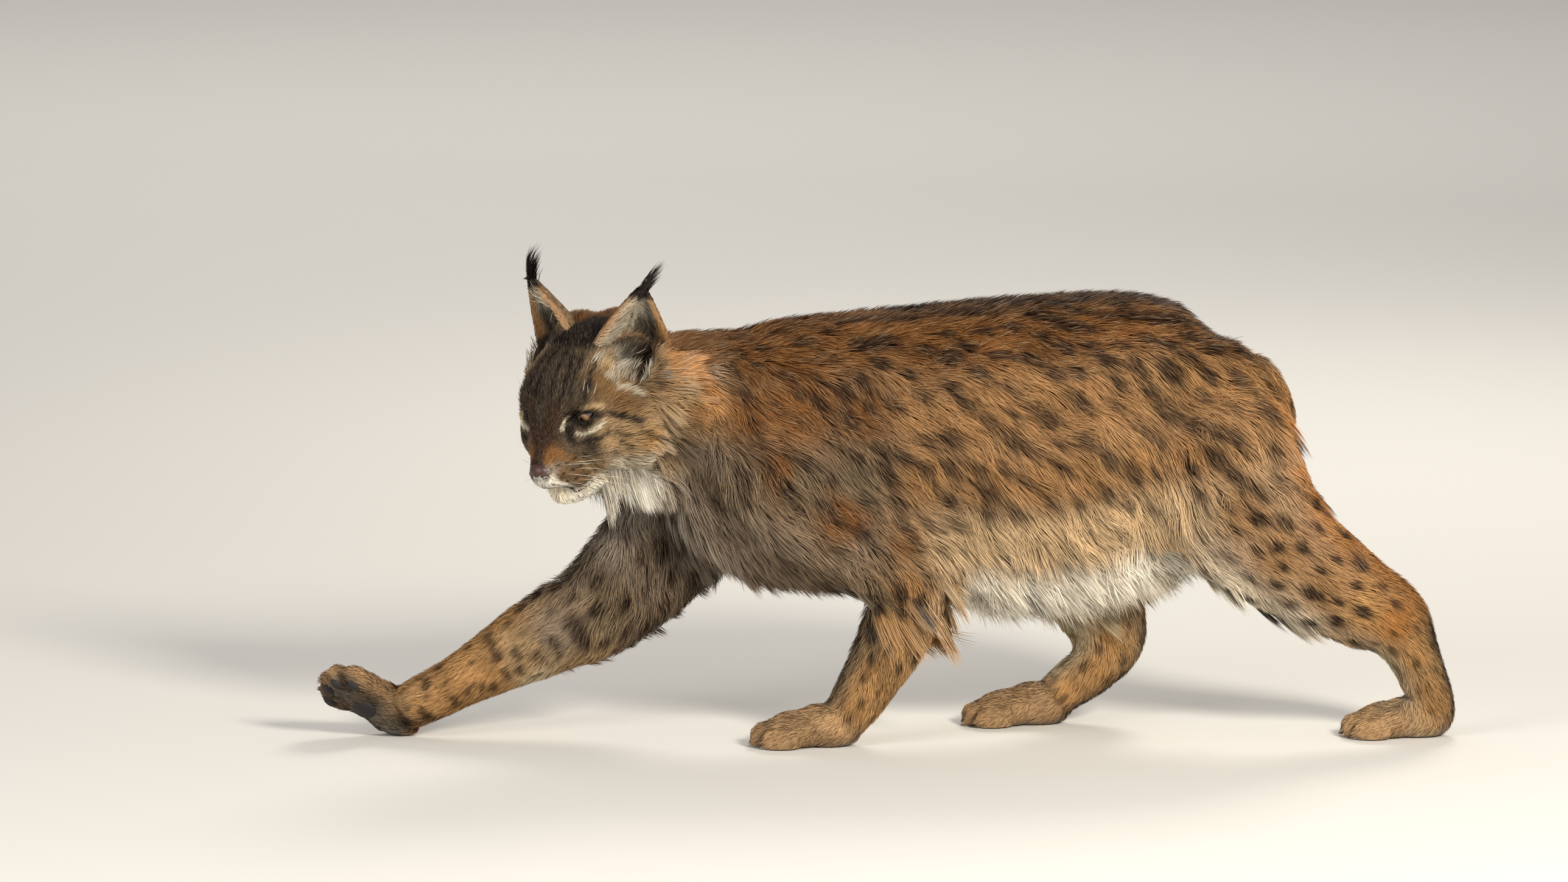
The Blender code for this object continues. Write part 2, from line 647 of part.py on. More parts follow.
def extruded(name, outline, depth, matrix, spread=1.0):
    """A closed prism: an outline in the plane x = 0, widened by spread, out to x = depth."""
    bm = bmesh.new()
    near = [bm.verts.new((0, y, z)) for y, z in outline]
    far = [bm.verts.new((depth, y * spread, z * spread)) for y, z in outline]
    count = len(outline)
    for k in range(count):
        n = (k + 1) % count
        bm.faces.new((near[k], near[n], far[n], far[k]))
    bm.faces.new(list(reversed(near)))
    bm.faces.new(far)
    bmesh.ops.recalc_face_normals(bm, faces=bm.faces)
    bmesh.ops.transform(bm, matrix=matrix, verts=bm.verts)
    return mesh_object(name, bm, keep=False)


def almond(upper, lower, half, steps=8):
    """The outline of a half-open eye."""
    across = [half * (2 * k / steps - 1) for k in range(steps + 1)]
    top = [(y, upper * (1 - (y / half) ** 2)) for y in across]
    low = [(y, -lower * (1 - (y / half) ** 2)) for y in reversed(across[1:-1])]
    return top + low


MOUTH = [(58, 0, -64), (53, 5, -70), (45, 15, -76), (32, 27, -79), (19, 36, -77), (9, 42, -73)]
MOUTH_GROOVE = 0.0016


def mouth_cutter(head):
    """A thin tube laid on the surface along the line of the lips, on both sides."""
    surface = bvh_of(head)
    place = head_matrix()
    left = [Vector(p) * 0.001 for p in MOUTH]
    right = [Vector((p.x, -p.y, p.z)) for p in reversed(left[1:])]
    chain = []
    for row in catmull([tuple(p) for p in right + left], 0.006):
        hit, normal, _, _ = surface.find_nearest(place @ Vector(row))
        at = hit + normal * MOUTH_GROOVE * 0.2
        chain.append((*at, MOUTH_GROOVE, MOUTH_GROOVE))
    bm = bmesh.new()
    loft(bm, chain, across=(0.3, 0.2, 1), step=0.02)
    return decimated(remeshed(mesh_object("mouth", bm, keep=False), MOUTH_GROOVE * 0.45, 2), 700)


def nose_forms(bm, matrix):
    """The leather: a broad top, two wings and the strip down to the lip."""
    form(bm, matrix, (53.5, 0, -43), (9, 12.5, 8.5), 25)
    form(bm, matrix, (52, 8, -47.5), (8.5, 7.2, 6.6), 15, BOTH)
    form(bm, matrix, (53, 0, -55), (6.5, 3.8, 8), 10)


def make_nose():
    bm = bmesh.new()
    nose_forms(bm, head_matrix())
    nose = remeshed(mesh_object("nose", bm), 0.0009, 5)
    decimated(nose, 260)
    for side in BOTH:
        bm = bmesh.new()
        form(bm, head_matrix(), (60.5, 5.8 * side, -48), (5.4, 2.9, 2.6))
        form(bm, head_matrix(), (57.5, 9.6 * side, -48.8), (5, 3.6, 1.4))
        nostril = remeshed(mesh_object("nostril", bm), 0.0008, 2)
        decimated(nostril, 60)
        boolean(nose, nostril, "DIFFERENCE")
        discard(nostril)
    return nose


def ear_axes(side):
    """Root, height along the ear, the way it opens and the way across, in the head's frame."""
    root = Vector((EAR_ROOT.x, EAR_ROOT.y * side, EAR_ROOT.z))
    tip = Vector((EAR_TIPS[side].x, EAR_TIPS[side].y * side, EAR_TIPS[side].z))
    up = (tip - root).normalized()
    opens = Vector((math.cos(EAR_OPENS[side]), math.sin(EAR_OPENS[side]) * side, 0.0))
    opens = (opens - up * opens.dot(up)).normalized()
    return root, (tip - root).length, up, opens, up.cross(opens) * side


def ear_point(side, height, across):
    """A point of the ear's inner face: height 0 at the root, 1 at the tip, across -1 to 1, outwards."""
    root, length, up, opens, out = ear_axes(side)
    taper = max(0.0, 1 - height) ** 0.6
    swell = 1 + 0.10 * math.sin(math.pi * min(1, max(0, height + 0.2)))
    wide = EAR_HALF_WIDTH * (taper * swell if height > 0 else 1.06 + 0.1 * height)
    lean = 0.004 * (1 - height)
    cup = EAR_CUP * min(1, wide / EAR_HALF_WIDTH)
    deep = -cup * (1 - abs(across) ** 2.2)
    return root + up * (height * length) + out * (across * wide + lean) + opens * deep


def make_ear(side, name):
    """A cupped sheet with a thick root, cut off where it meets the head."""
    bm = bmesh.new()
    heights = [-0.5, -0.2, 0.0, 0.18, 0.36, 0.54, 0.71, 0.86, 0.96]
    across = [-1, -0.75, -0.38, 0, 0.38, 0.75, 1]
    rows = [[bm.verts.new(ear_point(side, h, a)) for a in across] for h in heights]
    for low, high in zip(rows, rows[1:]):
        for k in range(len(across) - 1):
            corners = (low[k], low[k + 1], high[k + 1], high[k])
            bm.faces.new(corners if side > 0 else tuple(reversed(corners)))
    tip = bm.verts.new(ear_point(side, 1.0, 0.0))
    for k in range(len(across) - 1):
        corners = (rows[-1][k], rows[-1][k + 1], tip)
        bm.faces.new(corners if side > 0 else tuple(reversed(corners)))
    bmesh.ops.transform(bm, matrix=head_matrix(), verts=bm.verts)
    ear = mesh_object(name, bm)
    thick = ear.modifiers.new("Thickness", "SOLIDIFY")
    thick.thickness = EAR_THICK
    thick.offset = -1
    applied(ear)
    return largest_shell(ear)


def eye_ball(name, side, radius):
    bm = bmesh.new()
    bmesh.ops.create_uvsphere(
        bm, u_segments=EYE_SIDES, v_segments=EYE_SIDES * 2 // 3, radius=radius, matrix=eye_matrix(side)
    )
    return mesh_object(name, bm)


def cut_eye_opening(head, side):
    socket = eye_ball("socket", side, EYE_RADIUS + GAP)
    outline = almond(EYE_HALF_SLIT * 0.34, EYE_HALF_SLIT * 0.28, EYE_HALF_SLIT * 0.70)
    opening = extruded("opening", outline, LID_RADIUS + 0.003, eye_matrix(side), 1.75)
    boolean(head, opening, "DIFFERENCE")
    boolean(head, socket, "DIFFERENCE")
    discard(socket, opening)


def hull_outline(circles, grow=0.0, steps=20):
    """The convex outline round circles in the plane of x and z."""
    points = []
    for x, z, radius in circles:
        for k in range(steps):
            turn = 2 * math.pi * k / steps
            points.append((x + (radius + grow) * math.cos(turn), z + (radius + grow) * math.sin(turn)))
    points.sort()

    def half(run):
        made = []
        for p in run:
            while len(made) > 1 and ((made[-1][0] - made[-2][0]) * (p[1] - made[-2][1])
                                     - (made[-1][1] - made[-2][1]) * (p[0] - made[-2][0])) <= 0:
                made.pop()
            made.append(p)
        return made[:-1]

    return half(points) + half(list(reversed(points)))


def limb_prism(circles, side, inner, grow=0.0):
    """A prism through the limb from near the middle plane outwards, side -1 for the animal's left."""
    bm = bmesh.new()
    inner, outer = side * (inner - grow), side * 0.30
    outline = hull_outline(circles, grow)
    low = [bm.verts.new((x, inner, z)) for x, z in outline]
    high = [bm.verts.new((x, outer, z)) for x, z in outline]
    count = len(outline)
    for k in range(count):
        n = (k + 1) % count
        bm.faces.new((low[k], low[n], high[n], high[k]))
    bm.faces.new(list(reversed(low)))
    bm.faces.new(high)
    bmesh.ops.recalc_face_normals(bm, faces=bm.faces)
    return mesh_object("prism", bm, keep=False)


def lower_outline(name):
    """Circles round a lower limb, with room for its coat below the joint."""
    rows = LOWER_LIMBS[name]
    return [(x, z, deep + (0.026 if k else 0.006)) for k, (x, _, z, _, deep) in enumerate(rows)]


def wrist_plane(name):
    """Where a foot is cut from its leg: a point and the way down the leg."""
    rows = LOWER_LIMBS[name]
    here, above = rows[WRIST[name]], rows[WRIST[name] - 1]
    return dict(point=here[:3], normal=Vector(here[:3]) - Vector(above[:3]))


def make_foot(name):
    """A foot with the end of its leg, flat where it meets the floor."""
    foot = FEET[name]
    bm = bmesh.new()
    foot_forms(bm, foot, foot_matrix(foot))
    loft(bm, LOWER_LIMBS[name][WRIST[name] - 1:])
    made = decimated(remeshed(mesh_object(name, bm), PAW_VOXEL, 5), FOOT_TRIANGLES)
    above = half_space("cut", **wrist_plane(name), shift=GAP / 2)
    floor = half_space("cut", (0, 0, 0), (0, 0, 1))
    boolean(made, above, "DIFFERENCE")
    boolean(made, floor, "DIFFERENCE")
    discard(above, floor)
    return named(made, name + "_foot", "coat_pale")


def make_tail(body):
    """The short tail, free of the haunches below its root."""
    bm = bmesh.new()
    loft(bm, TAIL, step=0.01)
    tail = decimated(remeshed(mesh_object("tail", bm), 0.004, 3), TAIL_TRIANGLES)
    room = grown(body)
    boolean(tail, room, "DIFFERENCE")
    discard(room)
    return named(tail, "tail", "coat_rufous")


def part_with(whole, *cuts):
    """A copy of the whole, cut by each (cutter, operation) in turn."""
    made = copy_of(whole, "part")
    for cutter, operation in cuts:
        boolean(made, cutter, operation)
    return made


def named(obj, name, look):
    """Keeps the object's largest surface under its node's name."""
    largest_shell(obj)
    obj.name = name
    obj.hide_render = False
    obj.data.materials.clear()
    obj.data.materials.append(material(look))
    obj.data.calc_loop_triangles()
    print("node", name, len(obj.data.loop_triangles))
    return obj


def parted_body(body, head):
    """Cuts the body into neck, trunk and limbs, each a named node."""
    ahead_of_neck = half_space("cut", **NECK_CUT, shift=-GAP / 2)
    behind_neck = half_space("cut", **NECK_CUT, shift=GAP / 2)
    behind_head = half_space("cut", **HEAD_CUT, shift=-GAP / 2)
    head_room = grown(head)
    trunk = copy_of(body, "trunk")
    for name, circles in UPPER_CUTS.items():
        side = -1 if name.endswith("left") else 1
        lower = lower_outline(name)
        inner = CUT_INNER[name]
        upper_cut, upper_room = limb_prism(circles, side, inner), limb_prism(circles, side, inner, GAP)
        lower_cut = limb_prism(lower, side, LOWER_CUT_INNER)
        lower_room = limb_prism(lower, side, LOWER_CUT_INNER, GAP)
        foot_room = half_space("cut", **wrist_plane(name), shift=-GAP / 2)
        upper = part_with(body, (upper_cut, "INTERSECT"), (head_room, "DIFFERENCE"))
        named(upper, name + "_upper", "coat_ochre")
        lower = part_with(body, (lower_cut, "INTERSECT"), (upper_room, "DIFFERENCE"), (foot_room, "INTERSECT"))
        named(lower, name + "_lower", "coat_ochre")
        boolean(trunk, upper_room, "DIFFERENCE")
        boolean(trunk, lower_room, "DIFFERENCE")
        discard(upper_cut, upper_room, lower_cut, lower_room, foot_room)
    neck = part_with(trunk, (behind_neck, "DIFFERENCE"), (behind_head, "INTERSECT"), (head_room, "DIFFERENCE"))
    named(neck, "neck", "coat_rufous")
    boolean(trunk, ahead_of_neck, "INTERSECT")
    boolean(trunk, head_room, "DIFFERENCE")
    named(trunk, "torso", "coat_rufous")
    discard(ahead_of_neck, behind_neck, behind_head, head_room)


def settle():
    """Moves every piece so that the footprint box's centre is the origin."""
    corners = [v.co for obj in bpy.data.objects for v in obj.data.vertices]
    low = Vector([min(c[k] for c in corners) for k in range(3)])
    high = Vector([max(c[k] for c in corners) for k in range(3)])
    shift = Vector((-(low.x + high.x) / 2, -(low.y + high.y) / 2, -low.z))
    for obj in bpy.data.objects:
        obj.data.transform(Matrix.Translation(shift))
    print("shift", [round(v, 5) for v in shift], "size", [round(v, 4) for v in high - low])
    return shift


def main():
    clear_scene()
    body = decimated(make_body(), BODY_TRIANGLES)
    body_room = grown(body, 2 * GAP)
    head = decimated(make_head(), HEAD_TRIANGLES)
    nose = make_nose()
    nose_room = grown(nose)
    boolean(head, nose_room, "DIFFERENCE")
    groove = mouth_cutter(head)
    boolean(head, groove, "DIFFERENCE")
    discard(nose_room, groove)
    for side in BOTH:
        cut_eye_opening(head, side)
    locks = lock_rows(bvh_of(head), HEAD_LOCKS, head_matrix(), 0.001, 11)
    locks = boolean(fused(locks[0], locks[1:]), body_room, "DIFFERENCE")
    fused(head, [locks])
    head_front = half_space("cut", **HEAD_CUT, shift=GAP / 2)
    boolean(head, head_front, "DIFFERENCE")
    discard(head_front, body_room)
    named(head, "head", "coat_ochre")
    for side, name in ((1, "left"), (-1, "right")):
        named(eye_ball("eye_" + name, side, EYE_RADIUS), "eye_" + name, "eye")
        ear = ear_tuft(make_ear(side, "ear_" + name), side)
        room = grown(head)
        boolean(ear, room, "DIFFERENCE")
        discard(room)
        named(ear, "ear_" + name, "coat_ochre")
    named(nose, "nose", "nose_leather")
    for name in FEET:
        make_foot(name)
    make_tail(body)
    fused(body, lock_rows(bvh_of(body), BODY_LOCKS, Matrix.Identity(4), 1.0, 12))
    parted_body(body, head)
    discard(body)
    return settle()


SHIFTED = main()
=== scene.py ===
# A walking Eurasian lynx in its winter coat: one skin over the frame, with the fur as mesh tufts
import math
import random

import bmesh
import bpy
import numpy as np
from mathutils import Matrix, Vector
from mathutils.bvhtree import BVHTree
from mathutils.kdtree import KDTree


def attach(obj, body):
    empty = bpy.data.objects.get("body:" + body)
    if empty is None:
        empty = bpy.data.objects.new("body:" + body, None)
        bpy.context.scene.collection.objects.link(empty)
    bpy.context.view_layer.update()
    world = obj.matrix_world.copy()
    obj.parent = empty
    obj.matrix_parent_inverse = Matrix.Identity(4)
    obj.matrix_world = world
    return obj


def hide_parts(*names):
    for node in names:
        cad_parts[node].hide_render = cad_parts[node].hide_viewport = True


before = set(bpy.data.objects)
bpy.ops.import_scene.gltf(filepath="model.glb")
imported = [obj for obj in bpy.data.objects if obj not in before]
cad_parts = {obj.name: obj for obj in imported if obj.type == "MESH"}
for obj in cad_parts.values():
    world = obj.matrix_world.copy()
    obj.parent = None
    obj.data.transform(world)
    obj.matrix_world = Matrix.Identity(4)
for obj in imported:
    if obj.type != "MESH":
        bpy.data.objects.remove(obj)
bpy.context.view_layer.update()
bothSides = (1, -1)  # the animal's left and right
mm = 0.001

# Everything is worked out in the body's own frame and moved to the footprint's centre at the end
footprintShift = Vector((-0.11958, 0.0038, 0.0))

# Camera: the photograph's own angle, 12 m away, 0.70 mm to a pixel of its 2576 x 1449 frame
cameraSettings = {
    "azimuth": -6.0,
    "elevation": 8.0,
    "distance": 12.0,
    "frameWidth": 2576 * 0.70 * mm,
    "aim": Vector((0, 0, 0.345)) + footprintShift,
    "sensor": 36.0,
}


def makeCamera(settings):
    turn, rise = math.radians(settings["azimuth"]), math.radians(settings["elevation"])
    back = Vector((math.sin(turn) * math.cos(rise), -math.cos(turn) * math.cos(rise), math.sin(rise)))
    data = bpy.data.cameras.new("camera")
    data.sensor_width = settings["sensor"]
    data.lens = settings["sensor"] * settings["distance"] / settings["frameWidth"]
    data.clip_end = 60
    camera = bpy.data.objects.new("camera", data)
    bpy.context.scene.collection.objects.link(camera)
    camera.location = settings["aim"] + back * settings["distance"]
    camera.rotation_euler = (-back).to_track_quat("-Z", "Y").to_euler()
    bpy.context.scene.camera = camera


makeCamera(cameraSettings)
print("camera placed")

# Colours, sRGB hex, named for the coat's own tones
tones = {
    "darkBack": "4c3119",
    "rufous": "714821",
    "ochre": "936b41",
    "buff": "a98456",
    "paleBuff": "c4a67d",
    "cream": "dccfb6",
    "white": "ebe4d4",
    "chestGrey": "7d6c5a",
    "greyBrown": "665641",
    "faceGrey": "453a2d",
    "templeBrown": "6f5230",
    "cheekBuff": "9a7e5a",
    # orange: partly the ruff's own warm tone, partly painted warm sunlight on the head's side behind the ear
    "orange": "b27c45",
    "noseBrown": "412e22",
    "noseOrange": "85592f",
    "hockOrange": "a06c38",
    "thigh": "97724a",
    "legBuff": "a57c4c",
    "legPale": "b9a786",
    "footBuff": "a5835c",
    "soleGrey": "6f675c",
    "black": "1c1613",
    "spot": "26180f",
    "darkGrey": "4a3f33",
    "earBack": "8d7355",
    "earInner": "bfb49e",
    "eyePale": "a59b8b",
    "earTan": "a97c4c",
}


def toLinear(hexColour):
    values = [int(hexColour[i : i + 2], 16) / 255 for i in (0, 2, 4)]
    return np.array([v / 12.92 if v <= 0.04045 else ((v + 0.055) / 1.055) ** 2.4 for v in values])


toneColour = {name: toLinear(value) for name, value in tones.items()}


def addNode(tree, kind, place, settings=None, sockets=None, links=None):
    node = tree.nodes.new(kind)
    node.location = place
    for name, value in (settings or {}).items():
        setattr(node, name, value)
    for name, value in (sockets or {}).items():
        node.inputs[name].default_value = value
    for name, source in (links or {}).items():
        tree.links.new(source, node.inputs[name])
    return node


def newMaterial(name, settings):
    material = bpy.data.materials.new(name)
    material.use_nodes = True
    tree = material.node_tree
    shader = tree.nodes["Principled BSDF"]
    for socket, value in settings.items():
        shader.inputs[socket].default_value = value
    return material, tree, shader


# The body's masses, as in the part's source: x, top, underside, half width
trunkRows = [
    (-0.080, 0.468, 0.215, 0.070),
    (-0.051, 0.485, 0.192, 0.088),
    (0.008, 0.494, 0.176, 0.102),
    (0.079, 0.500, 0.170, 0.110),
    (0.149, 0.505, 0.166, 0.117),
    (0.220, 0.512, 0.158, 0.122),
    (0.290, 0.516, 0.150, 0.122),
    (0.346, 0.520, 0.160, 0.116),
    (0.403, 0.521, 0.182, 0.108),
    (0.459, 0.512, 0.204, 0.100),
    (0.504, 0.502, 0.230, 0.092),
    (0.532, 0.483, 0.270, 0.074),
    (0.552, 0.452, 0.318, 0.050),
]
neckRows = [  # x, y, z, half width, half depth
    (0.010, 0.000, 0.385, 0.088, 0.098),
    (-0.050, -0.002, 0.385, 0.082, 0.095),
    (-0.105, -0.008, 0.392, 0.078, 0.088),
    (-0.150, -0.018, 0.400, 0.074, 0.078),
    (-0.190, -0.034, 0.405, 0.066, 0.066),
]
upperLimbs = {
    "foreLeft": [
        (0.010, -0.050, 0.420, 0.040, 0.070),
        (-0.012, -0.066, 0.325, 0.048, 0.082),
        (0.060, -0.072, 0.268, 0.046, 0.080),
        (0.140, -0.074, 0.236, 0.042, 0.066),
    ],
    "foreRight": [
        (-0.010, 0.045, 0.405, 0.040, 0.068),
        (-0.085, 0.062, 0.292, 0.048, 0.078),
        (-0.140, 0.062, 0.214, 0.046, 0.076),
        (-0.200, 0.060, 0.152, 0.042, 0.066),
    ],
    "hindLeft": [
        (0.468, -0.044, 0.425, 0.052, 0.076),
        (0.490, -0.064, 0.350, 0.050, 0.094),
        (0.520, -0.070, 0.270, 0.049, 0.092),
        (0.562, -0.072, 0.222, 0.048, 0.080),
    ],
    "hindRight": [
        (0.450, 0.044, 0.418, 0.052, 0.076),
        (0.402, 0.062, 0.345, 0.050, 0.086),
        (0.352, 0.067, 0.278, 0.048, 0.076),
        (0.335, 0.070, 0.240, 0.046, 0.068),
    ],
}
lowerLimbs = {
    "foreLeft": [
        (0.140, -0.074, 0.236, 0.041, 0.058),
        (0.136, -0.072, 0.182, 0.038, 0.052),
        (0.120, -0.068, 0.128, 0.033, 0.046),
        (0.092, -0.064, 0.075, 0.030, 0.036),
        (0.072, -0.062, 0.042, 0.030, 0.031),
    ],
    "foreRight": [
        (-0.200, 0.060, 0.150, 0.042, 0.064),
        (-0.262, 0.056, 0.121, 0.040, 0.054),
        (-0.305, 0.053, 0.099, 0.037, 0.046),
        (-0.345, 0.050, 0.078, 0.034, 0.038),
        (-0.385, 0.047, 0.057, 0.031, 0.032),
        (-0.425, 0.045, 0.038, 0.029, 0.029),
    ],
    "hindLeft": [
        (0.562, -0.072, 0.222, 0.047, 0.076),
        (0.622, -0.073, 0.181, 0.043, 0.064),
        (0.668, -0.072, 0.153, 0.038, 0.055),
        (0.698, -0.071, 0.137, 0.034, 0.048),
        (0.722, -0.070, 0.098, 0.029, 0.034),
        (0.740, -0.069, 0.055, 0.029, 0.029),
        (0.748, -0.068, 0.034, 0.030, 0.026),
    ],
    "hindRight": [
        (0.336, 0.070, 0.244, 0.045, 0.064),
        (0.354, 0.070, 0.190, 0.042, 0.062),
        (0.376, 0.068, 0.136, 0.037, 0.056),
        (0.390, 0.066, 0.098, 0.033, 0.044),
        (0.368, 0.065, 0.064, 0.030, 0.033),
        (0.334, 0.064, 0.040, 0.030, 0.028),
    ],
}
tailRows = [
    (0.505, 0.004, 0.424, 0.040, 0.040),
    (0.540, 0.008, 0.402, 0.028, 0.029),
    (0.560, 0.012, 0.350, 0.025, 0.026),
    (0.564, 0.015, 0.298, 0.026, 0.026),
    (0.562, 0.017, 0.254, 0.022, 0.022),
]
feet = {
    "foreLeft": {"at": (0.030, -0.062, 0.0), "toes": (-1, 0.05, 0), "sole": (0, 0, -1), "half": 0.037},
    "foreRight": {"at": (-0.474, 0.041, 0.0255), "toes": (-0.80, -0.12, 0.60),
                  "sole": (-0.42, -0.62, -0.66), "half": 0.036},
    "hindLeft": {"at": (0.715, -0.068, 0.0), "toes": (-1, 0.04, 0), "sole": (0, 0, -1), "half": 0.034},
    "hindRight": {"at": (0.290, 0.064, 0.0), "toes": (-1, -0.04, 0), "sole": (0, 0, -1), "half": 0.034},
}

# The head, in its own frame: x ahead, y to its left, z up, origin midway between the eyes
headPose = {"at": Vector((-0.265, -0.075, 0.392)), "turn": 43, "down": 21, "tilt": -2}
headSections = [  # mm ahead, height of the middle, half width, half height
    (-128, 2, 60, 62),
    (-100, 0, 68, 67),
    (-70, 0, 71, 68),
    (-40, -5, 68, 64),
    (-14, -17, 61, 56),
    (4, -30, 49, 46),
    (20, -42, 35, 37),
    (38, -50, 26, 28),
    (50, -53, 19, 20),
]
eyeSizes = {"out": 36.5, "back": 9.5, "up": -1.5, "radius": 14.6, "lid": 16.9, "gazeOut": 17, "slitTilt": 14}
earSizes = {
    "root": Vector((-80, 55, 40)) * mm,
    "tips": {1: Vector((-106, 77, 108)) * mm, -1: Vector((-90, 80, 121)) * mm},
    "opens": {1: 50, -1: 16},
    "halfWidth": 0.043,
    "cup": 0.029,
    "thick": 0.0030,
}
mouthPath = [(58, 0, -65), (53, 5, -72), (45, 14, -79), (33, 26, -82), (20, 34, -82), (8, 39, -80), (0, 42, -78)]


def headMatrix():
    facing = Matrix.Rotation(math.pi, 4, "Z")
    turned = Matrix.Rotation(math.radians(headPose["turn"]), 4, "Z")
    pitched = Matrix.Rotation(-math.radians(headPose["down"]), 4, "Y")
    tilted = Matrix.Rotation(math.radians(headPose["tilt"]), 4, "X")
    return Matrix.Translation(headPose["at"]) @ turned @ pitched @ tilted @ facing


headPlace = headMatrix()


def catmull(rows, step):
    # a smooth curve through the rows, sampled about one step apart
    rows = np.array(rows, float)
    ends = np.vstack([2 * rows[0] - rows[1], rows, 2 * rows[-1] - rows[-2]])
    points = []
    for i in range(1, len(ends) - 2):
        p0, p1, p2, p3 = ends[i - 1 : i + 3]
        count = max(1, round(np.linalg.norm(p2[:3] - p1[:3]) / step))
        for k in range(count):
            t = k / count
            points.append(
                0.5 * (2 * p1 + (p2 - p0) * t + (2 * p0 - 5 * p1 + 4 * p2 - p3) * t**2
                       + (3 * p1 - p0 - 3 * p2 + p3) * t**3)
            )
    points.append(rows[-1])
    return np.array(points)


def loft(bm, chain, across=(0, 1, 0), matrix=None, step=0.014, sides=20, roundEnds=True):
    # a closed tube through x, y, z, half width, half depth
    rows = catmull(chain, step)
    across = Vector(across)
    rings = []

    def addRing(centre, side, deep, wide, tall):
        turn = Matrix((side * wide, deep * tall, side.cross(deep))).transposed().to_4x4()
        made = bmesh.ops.create_circle(bm, segments=sides, radius=1, matrix=Matrix.Translation(centre) @ turn)
        rings.append(made["verts"])

    frames = []
    for i, row in enumerate(rows):
        ahead = Vector(rows[min(i + 1, len(rows) - 1)][:3] - rows[max(i - 1, 0)][:3]).normalized()
        across = (across - ahead * across.dot(ahead)).normalized()
        frames.append((Vector(row[:3]), ahead, across.copy(), ahead.cross(across), row[3], row[4]))
    capAngles = [math.radians(a) for a in (70, 45, 20)] if roundEnds else []
    centre, ahead, side, deep, wide, tall = frames[0]
    for a in capAngles:
        addRing(centre - ahead * min(wide, tall) * math.sin(a) * 0.8, side, deep, wide * math.cos(a), tall * math.cos(a))
    for centre, ahead, side, deep, wide, tall in frames:
        addRing(centre, side, deep, wide, tall)
    for a in reversed(capAngles):
        addRing(centre + ahead * min(wide, tall) * math.sin(a) * 0.8, side, deep, wide * math.cos(a), tall * math.cos(a))
    for low, high in zip(rings, rings[1:]):
        edges = {e for v in low + high for e in v.link_edges if e.is_wire or e.is_boundary}
        inRing = set(low) | set(high)
        bmesh.ops.bridge_loops(bm, edges=[e for e in edges if set(e.verts) <= inRing])
    ends = [e for ring in (rings[0], rings[-1]) for v in ring for e in v.link_edges if e.is_boundary]
    bmesh.ops.holes_fill(bm, edges=list(set(ends)), sides=0)
    made = [v for ring in rings for v in ring]
    bmesh.ops.recalc_face_normals(bm, faces=list({f for v in made for f in v.link_faces}))
    if matrix is not None:
        bmesh.ops.transform(bm, matrix=matrix, verts=made)


def ellipsoid(bm, centre, radii, matrix=None, turn=None, detail=4):
    place = Matrix.Translation(Vector(centre)) @ (turn or Matrix.Identity(4)) @ Matrix.Diagonal((*radii, 1))
    if matrix is not None:
        place = matrix @ place
    return bmesh.ops.create_icosphere(bm, subdivisions=detail, radius=1, matrix=place)["verts"]


def form(bm, centre, radii, down=0, sides=(1,)):
    # an ellipsoid in the head's frame, in mm
    for side in sides:
        place = Vector((centre[0], centre[1] * side, centre[2])) * mm
        turn = Matrix.Rotation(math.radians(down), 4, "Y")
        ellipsoid(bm, place, [r * mm for r in radii], headPlace, turn)


def meshObject(name, bm):
    mesh = bpy.data.meshes.new(name)
    bm.to_mesh(mesh)
    bm.free()
    made = bpy.data.objects.new(name, mesh)
    bpy.context.scene.collection.objects.link(made)
    return made


def applied(obj):
    bpy.context.view_layer.update()
    graph = bpy.context.evaluated_depsgraph_get()
    mesh = bpy.data.meshes.new_from_object(obj.evaluated_get(graph))
    obj.modifiers.clear()
    obj.data = mesh
    return obj


def remeshed(obj, voxel, smoothSteps, factor=0.5):
    remesh = obj.modifiers.new("remesh", "REMESH")
    remesh.mode = "VOXEL"
    remesh.voxel_size = voxel
    if smoothSteps:
        smooth = obj.modifiers.new("smooth", "SMOOTH")
        smooth.factor = factor
        smooth.iterations = smoothSteps
    return applied(obj)


def decimated(obj, ratio):
    fewer = obj.modifiers.new("decimate", "DECIMATE")
    fewer.ratio = ratio
    return applied(obj)


def cutBy(obj, tool, operation="DIFFERENCE"):
    cut = obj.modifiers.new("cut", "BOOLEAN")
    cut.operation = operation
    cut.solver = "MANIFOLD"
    cut.object = tool
    applied(obj)
    bpy.data.objects.remove(tool, do_unlink=True)
    return obj


def joinMeshes(name, objects):
    bm = bmesh.new()
    for obj in objects:
        bm.from_mesh(obj.data)
        bpy.data.objects.remove(obj, do_unlink=True)
    return meshObject(name, bm)


def pointsOf(mesh, attribute="co"):
    values = np.zeros(len(mesh.vertices) * 3)
    mesh.vertices.foreach_get(attribute, values)
    return values.reshape(-1, 3)


def eyeCentre(side):
    return Vector((-eyeSizes["back"], eyeSizes["out"] * side, eyeSizes["up"])) * mm


def eyeMatrix(side):
    turn = Matrix.Rotation(math.radians(eyeSizes["gazeOut"]) * side, 4, "Z")
    tilt = Matrix.Rotation(math.radians(eyeSizes["slitTilt"]) * side, 4, "X")
    return headPlace @ Matrix.Translation(eyeCentre(side)) @ turn @ tilt


